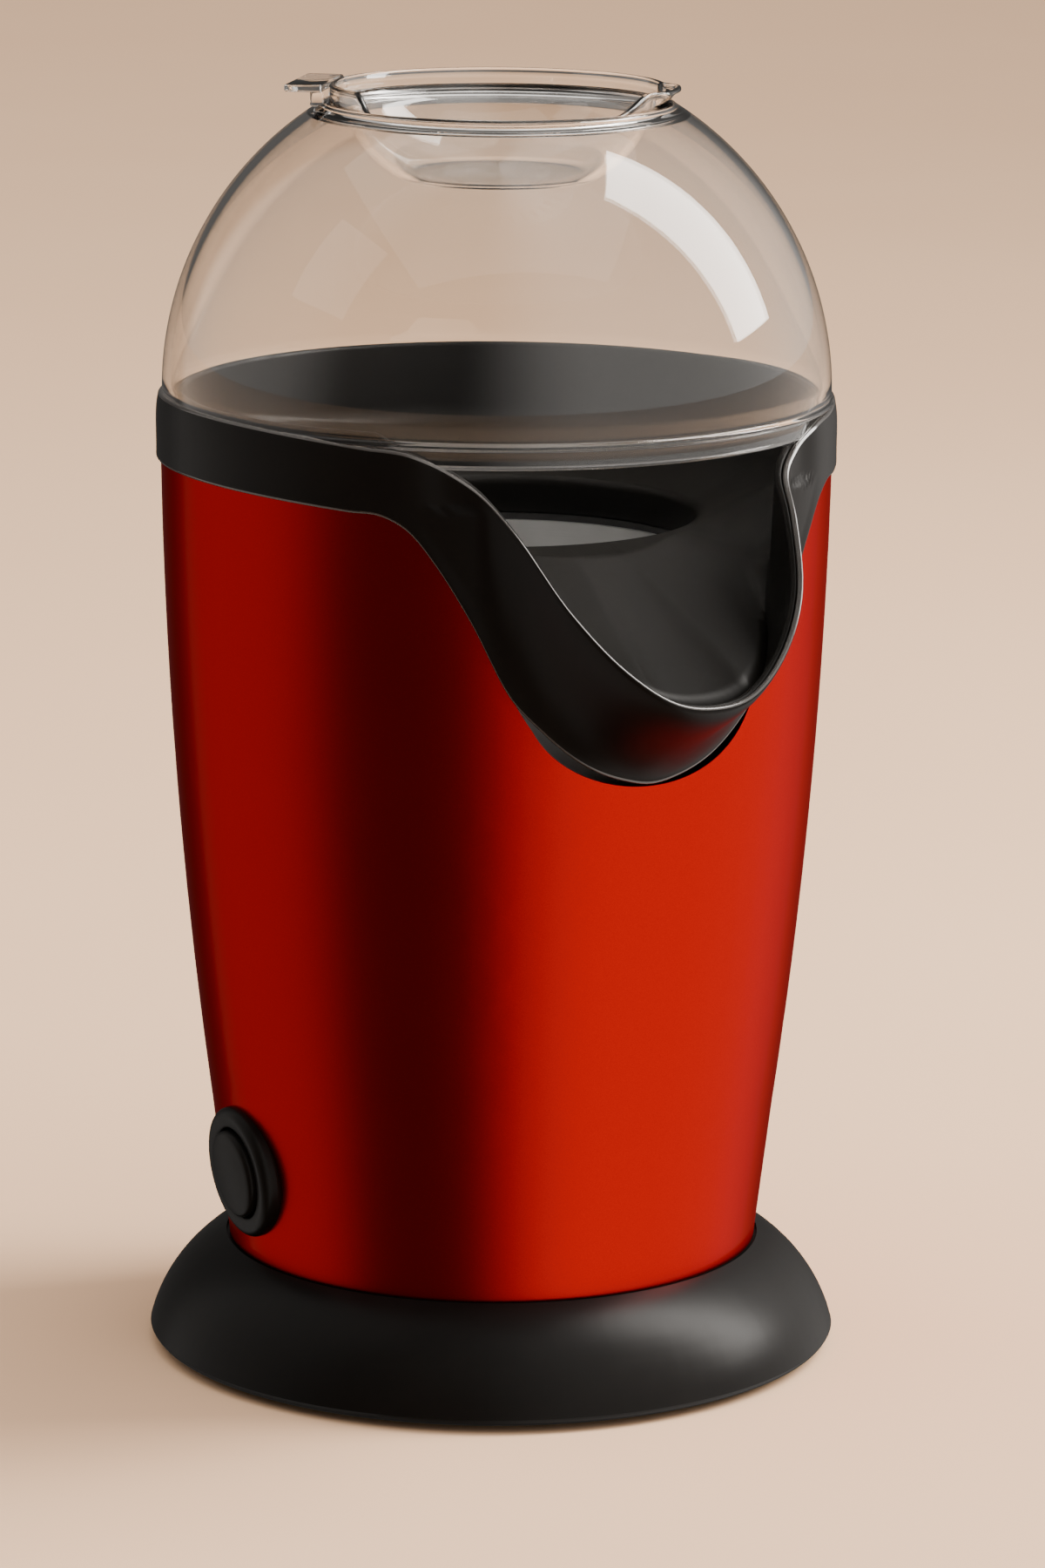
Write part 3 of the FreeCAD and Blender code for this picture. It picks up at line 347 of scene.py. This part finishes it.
def collar_outside(side):
    """The collar's outer face at an angle from the spout, from its foot on the tube to its rim."""
    rim = np.array([flow(side, RIM_RADIUS), flow(side, RIM_HEIGHT)])
    low = flow(side, FOOT_HEIGHT)
    foot = np.array([tube_radius(low) + APRON_STEP, low + TOE_RADIUS])
    span = np.linalg.norm(rim - foot)
    chord = (rim - foot) / span
    # Both ends of the curve are steeper than its chord, so the spout's face is a slight S.
    leave = foot + (chord + np.array([0, 0.5])) * span * 0.25
    bulge = np.array([0.7 * ease(side, RING_START, RING_END), 0])
    arrive = rim - (chord + np.array([0, 0.45])) * span * 0.2 + bulge
    top = rim - np.array([0, COLLAR_WALL / 2])
    t = np.linspace(0, 1, FACE_POINTS)[:, None]
    face = (foot * (1 - t) ** 3 + 3 * leave * t * (1 - t) ** 2 + 3 * arrive * t * t * (1 - t)
            + top * t ** 3)
    # It stays outside the tube as far up as the tube goes.
    over_tube = tube_radius(np.minimum(face[:, 1], BODY_TOP)) + TUBE_CLEARANCE
    face[:, 0] = np.maximum(face[:, 0], over_tube - 3 * np.maximum(face[:, 1] - BODY_TOP, 0))
    return face


def collar_section(angle):
    """The collar's wall at an angle from the spout: outer face, rim, inside and hidden back."""
    side = from_spout(angle)
    ring = ease(side, RING_START, RING_END)
    low = flow(side, FOOT_HEIGHT)
    face = collar_outside(side)
    edge = COLLAR_WALL / 2
    top = face[-1]
    crown = arc(top - np.array([edge, 0]), edge, 0.35, math.pi, CROWN_POINTS)
    along = np.gradient(face, axis=0)
    along /= np.linalg.norm(along, axis=1)[:, None]
    lining = face + COLLAR_WALL * np.stack([-along[:, 1], along[:, 0]], axis=1)
    wall = top[0] - COLLAR_WALL
    shelf = top[1] + edge - REBATE_DEPTH
    bore = wall - REBATE_WIDTH
    under = max(low + 2, shelf - 6)
    stepped = np.array([(wall, top[1] - 0.4), (wall, shelf + 0.3), (wall - 0.2, shelf),
                        (bore, shelf), (bore, (shelf + under) / 2)])
    # The ring is stepped inside for the dome's skirt; the spout's inside follows its face.
    inside = list(stepped * ring + lining[[22, 17, 12, 7, 2]] * (1 - ring))
    under = under * ring + (low + 2) * (1 - ring)
    tube = tube_radius(min(under, BODY_TOP)) - 0.3
    hem = tube_radius(low)
    back = [(min(tube, bore), under), (hem - 0.25, low + 1.2), (hem - 0.05, low)]
    toe = arc(face[0] - np.array([TOE_RADIUS, 0]), TOE_RADIUS, -math.pi / 2, -0.3, TOE_POINTS)
    return [around_axis(angle, *place) for place in list(face) + crown + inside + back + toe]


collar = loft("collar", [collar_section(angle) for angle in columns()], "housing",
              satin_black, ["top_collar"])
# Painted highlight: this black is several times paler than the collar's, so the edges it covers
# show as bright lines; its high shine and low roughness are real.
glossy_rim_painted_highlight = black_plastic("polished_rim_painted_highlight", (0.02, 0.018, 0.017), (0.03, 0.027, 0.025), 0.1, 0.9)
collar.data.materials.append(glossy_rim_painted_highlight)
# The rim's crown and the rounded lower edge are polished and glossy, and their paler black is a
# painted highlight that draws the two fine bright lines.
section_points = len(collar_section(0))
for face in collar.data.polygons:
    place = face.index % section_points
    on_crown = FACE_POINTS <= place < FACE_POINTS + CROWN_POINTS - 1
    if on_crown or place >= section_points - TOE_POINTS:
        face.material_index = 1


# ---- Switch -------------------------------------------------------------------------------------
# The round push switch low on the side. A raised ring with soft shoulders is clipped into the tube,
# and the gently domed button slides in it, square to the leaning wall.
SWITCH_HEIGHT, SWITCH_RADIUS, SWITCH_TILT = 48.0, 66.05, math.radians(6.9)
BEZEL_RADIUS, BEZEL_BORE, BEZEL_PROUD = 15.8, 10.8, 2.6
BUTTON_RADIUS, BUTTON_PROUD = 10.5, 4.6
SWITCH_DEPTH, BEZEL_DEPTH = 6.0, 2.8
SWITCH_COLUMNS = 96
# A turned skin is a ring, so a solid one keeps a hole too fine to see on its axis.
PINHOLE = 0.02


def on_switch_axis(outline, count):
    """Rings of a (radius, height over the wall) outline, turned on the switch's axis."""
    out = np.array([-math.cos(SWITCH_TILT), 0, -math.sin(SWITCH_TILT)])
    across = np.array([0, 1, 0])
    up = np.cross(out, across)
    start = np.array([-SWITCH_RADIUS, 0, SWITCH_HEIGHT])
    rings = []
    for a in np.linspace(0, 2 * math.pi, count, endpoint=False):
        spoke = across * math.cos(a) + up * math.sin(a)
        rings.append([(start + out * rise + spoke * radius) * MM for radius, rise in outline])
    return rings


bezel_outline = (
    [(BEZEL_RADIUS, -BEZEL_DEPTH), (BEZEL_RADIUS, -1.0), (BEZEL_RADIUS, 0.2)]
    + arc((BEZEL_RADIUS - 2.1, BEZEL_PROUD - 2.1), 2.1, 0.1, math.pi / 2, 9)
    + arc((BEZEL_BORE + 1.1, BEZEL_PROUD - 1.2), 1.1, 1.7, math.pi, 7)
    + [(BEZEL_BORE, 0.6), (BEZEL_BORE, -2.0), (BEZEL_BORE, -BEZEL_DEPTH),
       (BEZEL_RADIUS - 2, -BEZEL_DEPTH)]
)
loft("bezel", on_switch_axis(bezel_outline, SWITCH_COLUMNS), "housing",
     satin_black, ["switch_bezel"])
button_outline = (
    [(PINHOLE, -SWITCH_DEPTH), (BUTTON_RADIUS - 0.5, -SWITCH_DEPTH),
     (BUTTON_RADIUS, 0.5 - SWITCH_DEPTH), (BUTTON_RADIUS, 0.0)]
    + arc((BUTTON_RADIUS - 1.3, BUTTON_PROUD - 1.9), 1.3, 0.0, 1.25, 8)
    + [(radius, BUTTON_PROUD - 0.6 * (radius / 9.0) ** 2)
       for radius in (8.4, 7.0, 5.0, 2.6, 0.15, PINHOLE)]
)
loft("button_cap", on_switch_axis(button_outline, SWITCH_COLUMNS), "button",
     satin_black, ["switch_button"])


# ---- Chute liner --------------------------------------------------------------------------------
# The black inner tray: a shallow dish round the chamber's mouth that falls away into the chute.
# Its edge runs just inside the spout's rim, and behind the dome's skirt it stands up as a ring.
MOUTH_RADIUS, MOUTH_HEIGHT, NECK_BOTTOM = 47.5, 201.4, 193.0
LINER_WALL, LINER_RADIUS, UPSTAND = 2.0, 75.65, 2.9
LINER_GAP, DISH_DEPTH, CHUTE_FALL = 0.15, 16, 0.474


def bent(start, corner, end, radius, count):
    """Points along two straight legs with their corner rounded."""
    start, corner, end = (np.array(place, float) for place in (start, corner, end))
    first, last = start - corner, end - corner
    lengths = np.linalg.norm(first), np.linalg.norm(last)
    cut = min(radius, 0.48 * min(lengths))
    a, b = corner + first / lengths[0] * cut, corner + last / lengths[1] * cut
    half = count // 2
    legs = [start + (a - start) * t for t in np.linspace(0, 1, count - half, endpoint=False)]
    turn = [a * (1 - t) ** 2 + 2 * corner * t * (1 - t) + b * t * t
            for t in np.linspace(0, 1, half)]
    return legs + turn + [end]


def liner_section(angle):
    """The tray's wall at an angle from the spout: its surface, edge, underside and neck."""
    side = from_spout(angle)
    ring, raised, dish = ease(side, 33, 40), ease(side, 43, 49), ease(side, 38, 62)
    at_spout = flow(side, RIM_RADIUS) - COLLAR_WALL - LINER_GAP
    outer = at_spout * (1 - ring) + LINER_RADIUS * ring
    at_spout = flow(side, RIM_HEIGHT) + 0.1 - 0.5 * ring
    top = at_spout * (1 - raised) + (COLLAR_TOP + UPSTAND) * raised
    inner = outer - LINER_WALL
    reach = inner * math.cos(math.radians(side))
    chute = MOUTH_HEIGHT - CHUTE_FALL * (reach - MOUTH_RADIUS)
    floor = min(chute * (1 - dish) + (COLLAR_TOP - DISH_DEPTH) * dish, top - 1.6)
    edge = LINER_WALL / 2
    corner = 9 - 5 * dish
    neck = MOUTH_RADIUS + LINER_WALL
    surface = bent((MOUTH_RADIUS, MOUTH_HEIGHT), (inner, floor), (inner, top - edge), corner, 20)
    crown = arc((inner + edge, top - edge), edge, math.pi - 0.3, 0.3, 6)
    under = bent((outer, top - edge), (outer, floor - LINER_WALL),
                 (neck, MOUTH_HEIGHT - LINER_WALL), corner, 10)
    foot = [(neck, NECK_BOTTOM), (MOUTH_RADIUS + 0.4, NECK_BOTTOM),
            (MOUTH_RADIUS, NECK_BOTTOM + 0.4), (MOUTH_RADIUS, MOUTH_HEIGHT - 1.5)]
    # Nothing of the tray comes nearer to the collar's face than the collar's own wall.
    face = collar_outside(side)
    section = []
    for wall, places in ((LINER_WALL, surface), (0, crown + under + foot)):
        room = COLLAR_WALL + LINER_GAP + wall
        section += [(min(r, np.interp(z, face[:, 1], face[:, 0]) - room), z) for r, z in places]
    return [around_axis(angle, *place) for place in section]


tray_black = black_plastic("tray_black_abs", (0.0025, 0.0022, 0.0018), (0.0045, 0.004, 0.0033),
                           0.36, 0.09)
loft("inner_tray", [liner_section(angle) for angle in columns()], "housing",
     tray_black, ["chute_liner"])


# ---- Clear plastic ------------------------------------------------------------------------------
# The dome and the measuring cup are moulded in clear, faintly smoky polycarbonate with a polished
# skin. The dome is a hemisphere cut off at the top, on a short skirt that drops inside the collar.
def clear_plastic(name, low, high):
    """Clear plastic tinted between two tones, polished but for faint cloudy patches."""
    material, shader, place = finish(name, transmission_weight=1.0, ior=1.49)
    place.noise(30 * MM).blend(low, high).feeds(shader["Base Color"])
    (place.noise(12 * MM) * 0.015).feeds(shader["Roughness"])
    return material


DOME_CENTRE, DOME_RADIUS, DOME_WALL = 231.0, 78.8, 2.0
DOME_MOUTH, SEAT_HEIGHT, SEAT_RADIUS, SEAT_WALL = 40.5, 295.4, 37.5, 1.6
SKIRT_RADIUS, SKIRT_BOTTOM, SKIRT_WALL = 77.9, 223.8, 1.6
BEAD_RADIUS, BEAD_ROUND, EDGE_ROUND = 79.4, 0.75, 0.5
DOME_COLUMNS, DOME_POINTS = 144, 56


def dome_arc(radius, start, end):
    return arc((0, DOME_CENTRE), radius, start, end, DOME_POINTS)


dome_inner = DOME_RADIUS - DOME_WALL
seat_bottom = SEAT_HEIGHT - SEAT_WALL
mouth_top = DOME_CENTRE + math.sqrt(DOME_RADIUS ** 2 - DOME_MOUTH ** 2)
outer_end = math.acos((DOME_MOUTH + 0.6) / DOME_RADIUS)
inner_end = math.acos((DOME_MOUTH + SEAT_WALL + 0.6) / dome_inner)
dome_outline = (
    arc((SKIRT_RADIUS - 1, SKIRT_BOTTOM + 0.6), 0.6, -math.pi, 0, 7)[1:-1]
    + [(SKIRT_RADIUS, SKIRT_BOTTOM + 1.6), (SKIRT_RADIUS, COLLAR_TOP - 0.6),
       (SKIRT_RADIUS + 0.15, COLLAR_TOP + 0.1)]
    + arc((BEAD_RADIUS - BEAD_ROUND, COLLAR_TOP + 0.85), BEAD_ROUND, -1.3, 1.3, 9)
    + [(DOME_RADIUS - 0.02, COLLAR_TOP + 2.0)]
    + dome_arc(DOME_RADIUS, 0.01, outer_end)
    + arc((DOME_MOUTH + EDGE_ROUND, mouth_top - 0.75), EDGE_ROUND, 1.0, math.pi, 6)
    + [(DOME_MOUTH, SEAT_HEIGHT + 0.4), (DOME_MOUTH - 0.3, SEAT_HEIGHT)]
    + arc((SEAT_RADIUS + EDGE_ROUND, SEAT_HEIGHT - EDGE_ROUND), EDGE_ROUND,
          math.pi / 2, math.pi, 5)
    + arc((SEAT_RADIUS + EDGE_ROUND, seat_bottom + EDGE_ROUND), EDGE_ROUND,
          math.pi, 1.5 * math.pi, 5)
    + [(DOME_MOUTH + SEAT_WALL - 0.3, seat_bottom)]
    + dome_arc(dome_inner, inner_end, 0.02)
    + [(SKIRT_RADIUS - 1.55, COLLAR_TOP - 1.0), (SKIRT_RADIUS - SKIRT_WALL, SKIRT_BOTTOM + 1.4)]
)
dome_clear = clear_plastic("clear_polycarbonate", (0.90, 0.885, 0.87), (0.94, 0.93, 0.915))
dome_rings = [[around_axis(angle, *place) for place in dome_outline]
              for angle in np.linspace(0, 360, DOME_COLUMNS, endpoint=False)]
dome = loft("dome", dome_rings, "dome", dome_clear, ["dome_lid"])
dome.visible_shadow = False


# ---- Measuring cup ------------------------------------------------------------------------------
# A clear scoop that closes the dome's mouth and meters the corn. A shallow bowl hangs from a
# flange; a low wall runs round the back and ends in an S-curve at the front, and a tab lifts it.
CUP_TURN, CUP_RIM, CUP_WALL = 142.5, SEAT_HEIGHT + 7.1, 1.6
BOWL_FLOOR, BOWL_RADIUS, BOWL_DEPTH, BOWL_CURVE = 22.0, 35.9, 15.5, 26.0
FLANGE_RADIUS, WALL_RADIUS, RING_HEIGHT = DOME_MOUTH - 0.35, 39.4, 0.9
WALL_START, WALL_END = 46.0, 150.0
LIP_REACH = 3.0
CUP_COLUMNS, BOWL_POINTS = 240, 18
# Two places close to the bowl's middle, as shares of its floor, keep the shading flat there.
MIDDLE = (0.001, 0.01)


def bowl_arc(wall, floor, gap):
    """A face of the bowl's round side, so far inside its outer face, from the floor to the seat.

    It stops short of the seat by gap, in radians.
    """
    chord = np.array([BOWL_RADIUS - BOWL_FLOOR, BOWL_DEPTH])
    half = np.linalg.norm(chord) / 2
    inward = np.array([-chord[1], chord[0]]) / (2 * half)
    sag = math.sqrt(BOWL_CURVE ** 2 - half ** 2)
    centre = np.array([BOWL_FLOOR, floor]) + chord / 2 + inward * sag
    radius = BOWL_CURVE - wall
    seat = math.atan2(SEAT_HEIGHT - centre[1], BOWL_RADIUS - centre[0])
    low = math.asin((floor + wall - centre[1]) / radius)
    return arc(centre, radius, low + 0.03, seat - gap, BOWL_POINTS)


def cup_section(turn):
    """The cup's wall at a turn from its tab, from the floor's middle out, up and back."""
    start = ease(turn, WALL_START - 3, WALL_START + 5)
    lowered = start * (1 - ease(turn, WALL_END - 8, WALL_END + 14))
    flange_top = SEAT_HEIGHT + CUP_WALL
    wall_top = CUP_RIM - (CUP_RIM - flange_top - RING_HEIGHT) * lowered
    lip = LIP_REACH * ease(turn, 160, 170) * (1 - ease(turn, 190, 200))
    floor = SEAT_HEIGHT - BOWL_DEPTH
    outer = (
        [(BOWL_FLOOR * share, floor) for share in (*MIDDLE, 0.5, 0.9, 0.97)]
        + bowl_arc(0, floor, 0.03)
        + [(BOWL_RADIUS + 0.3, SEAT_HEIGHT - 0.25), (BOWL_RADIUS + 1, SEAT_HEIGHT + 0.05)]
        + arc((FLANGE_RADIUS - 0.5, SEAT_HEIGHT + 0.55), 0.5, -math.pi / 2, 0, 4)
        + arc((FLANGE_RADIUS - 0.4, flange_top - 0.4), 0.4, 0, math.pi / 2, 4)
        + [(WALL_RADIUS + 0.25, flange_top + 0.02), (WALL_RADIUS, flange_top + 0.25)]
    )
    edge = CUP_WALL / 2
    bead = 0.12 + 0.02 * lip
    rise = wall_top - edge - flange_top
    crown = (
        [(WALL_RADIUS + lip * share ** 2, flange_top + 0.25 + (rise - 0.25) * share)
         for share in (0.35, 0.7, 0.95)]
        + arc((WALL_RADIUS - edge + lip + bead, wall_top - edge), edge, -0.2, math.pi + 0.2, 8)
        + [(WALL_RADIUS - CUP_WALL + lip * share ** 2, flange_top + rise * share)
           for share in (0.9, 0.6, 0.3)]
    )
    inner = (
        [(WALL_RADIUS - CUP_WALL - 0.2, flange_top + 0.1),
         (WALL_RADIUS - CUP_WALL - 0.8, flange_top - 0.2)]
        + bowl_arc(CUP_WALL, floor, 0.01)[::-1]
        + [(BOWL_FLOOR * share, floor + CUP_WALL) for share in (0.9, 0.8, 0.4, *MIDDLE[::-1])]
    )
    angle = turn + CUP_TURN + 90
    return [around_axis(angle, *place) for place in outer + crown + inner]


cup_clear = clear_plastic("clear_cup_polycarbonate", (0.93, 0.925, 0.915), (0.965, 0.96, 0.95))
cup_rings = [cup_section(turn) for turn in np.linspace(0, 360, CUP_COLUMNS, endpoint=False)]
cup = loft("measuring_scoop", cup_rings, "cup", cup_clear, ["measuring_cup"])
cup.visible_shadow = False


def cup_block(name, along, across, height):
    """A round-edged block on the cup, from its ranges along and across the tab's direction."""
    block = bmesh.new()
    bmesh.ops.create_cube(block, size=1)
    for corner in block.verts:
        place = [low + (high - low) * (share + 0.5)
                 for share, (low, high) in zip(corner.co, (along, across, height))]
        corner.co = Vector(place) * MM
    bmesh.ops.bevel(block, geom=block.edges[:] + block.verts[:], offset=0.5 * MM,
                    segments=3, profile=0.5, affect="EDGES")
    block.transform(Matrix.Rotation(math.radians(CUP_TURN), 4, "Z"))
    for face in block.faces:
        face.smooth = True
    data = bpy.data.meshes.new(name)
    block.to_mesh(data)
    block.free()
    data.materials.append(cup_clear)
    piece = bpy.data.objects.new(name, data)
    bpy.context.scene.collection.objects.link(piece)
    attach(piece, "cup")
    piece.visible_shadow = False


TAB_ROOT, TAB_END, TAB_HALF, TAB_BOTTOM, TAB_TOP = 39.5, 48.4, 13.4, 300.7, 302.45
UPRIGHT_END, UPRIGHT_PLACE, UPRIGHT_HALF, UPRIGHT_FOOT = 42.6, 11, 0.8, 297.2
cup_block("cup_tab", (TAB_ROOT, TAB_END), (-TAB_HALF, TAB_HALF), (TAB_BOTTOM, TAB_TOP))
for name, place in (("left", -UPRIGHT_PLACE), ("right", UPRIGHT_PLACE)):
    cup_block("cup_upright_" + name, (TAB_ROOT, UPRIGHT_END),
              (place - UPRIGHT_HALF, place + UPRIGHT_HALF), (UPRIGHT_FOOT, TAB_BOTTOM + 0.2))


# ---- Feet, bush and terminal block --------------------------------------------------------------
# Four soft rubber feet are pressed into the floor plate. A rubber bush lines the hole at the back
# where the mains lead comes in, and a white nylon block joins its wires inside. The motor's end
# cap is moulded in the same nylon.
def matt(name, dark, light, rough, patch=6.0):
    """A dull moulded or baked finish between two tones, in patches of so many millimetres."""
    material, shader, place = finish(name, specular_ior_level=0.3)
    place.noise(patch * MM, 3.0).blend(dark, light).feeds(shader["Base Color"])
    (place.noise(patch * 0.5 * MM) * 0.12 + rough).feeds(shader["Roughness"])
    place.noise(0.6 * MM).bump(0.03 * MM, 0.4).feeds(shader["Normal"])
    return material


coat(matt("foot_rubber", (0.012, 0.012, 0.012), (0.022, 0.021, 0.02), 0.72),
     "rubber_feet", "cord_inlet_bush")
coat(matt("white_nylon", (0.72, 0.70, 0.64), (0.8, 0.78, 0.73), 0.4),
     "terminal_block", "motor_end_cap")


# ---- Popping chamber and metal parts ------------------------------------------------------------
# The chamber, the heater tube and the small metal parts: spun aluminium with fine turning marks
# round its axis, plated steel, brass blades, a nickel-chrome heating coil and copper windings.
def metal(name, dark, light, rough, stretch=(1.0, 1.0, 1.0)):
    """A bare metal between two tones; a stretch below 1 draws its marks out along that axis."""
    material, shader, place = finish(name, metallic=1.0)
    drawn = place.node("VectorMath", {"operation": "MULTIPLY"}, {0: place, 1: stretch})
    marks = drawn.noise(0.5 * MM, 3.0)
    clouds = place.noise(8 * MM, 3.0)
    (clouds * 0.6 + marks * 0.4).blend(dark, light).feeds(shader["Base Color"])
    (marks * 0.15 + clouds * 0.08 + rough).feeds(shader["Roughness"])
    marks.bump(0.01 * MM, 0.3).feeds(shader["Normal"])
    return material


coat(metal("spun_aluminium", (0.42, 0.42, 0.42), (0.6, 0.6, 0.59), 0.33, (0.04, 0.04, 1.0)),
     "popping_chamber", "heater_tube")
coat(metal("plated_steel", (0.45, 0.45, 0.46), (0.62, 0.62, 0.62), 0.25),
     "base_screws", "chamber_screws", "housing_screws", "motor_screws", "motor_shaft",
     "motor_can", "impeller_nut", "motor_bearings", "thermostat")
coat(metal("brass", (0.55, 0.38, 0.14), (0.75, 0.55, 0.24), 0.28),
     "switch_terminals", "motor_terminals")
coat(metal("heating_wire", (0.22, 0.2, 0.19), (0.36, 0.31, 0.28), 0.42), "heater_coil")
coat(metal("wound_copper", (0.35, 0.13, 0.05), (0.6, 0.26, 0.12), 0.35), "motor_armature")


# ---- Heat-proof and moulded parts inside --------------------------------------------------------
# A silicone ring seals the chamber, mica boards hold the coil, and the fan and its housing are grey
# nylon. The switch's works are black, and the rectifier sits on a brown board.
coat(matt("black_silicone", (0.008, 0.008, 0.008), (0.016, 0.015, 0.015), 0.55), "chamber_gasket")
coat(matt("mica", (0.42, 0.36, 0.27), (0.62, 0.56, 0.45), 0.5, 2.0), "mica_frame")
coat(matt("ceramic", (0.72, 0.7, 0.66), (0.82, 0.81, 0.78), 0.55, 2.0), "thermal_fuse")
coat(matt("grey_nylon", (0.16, 0.165, 0.17), (0.22, 0.225, 0.23), 0.45),
     "fan_housing", "fan_impeller")
coat(matt("switch_phenolic", (0.01, 0.01, 0.01), (0.025, 0.023, 0.02), 0.5), "switch_body")
coat(matt("magnet_ferrite", (0.03, 0.03, 0.032), (0.06, 0.06, 0.062), 0.6, 1.5), "motor_magnets")
coat(matt("brown_board", (0.16, 0.09, 0.035), (0.26, 0.16, 0.07), 0.45, 3.0), "rectifier_board")
coat(matt("diode_resin", (0.01, 0.01, 0.011), (0.02, 0.02, 0.021), 0.38, 2.0), "rectifier_diodes")
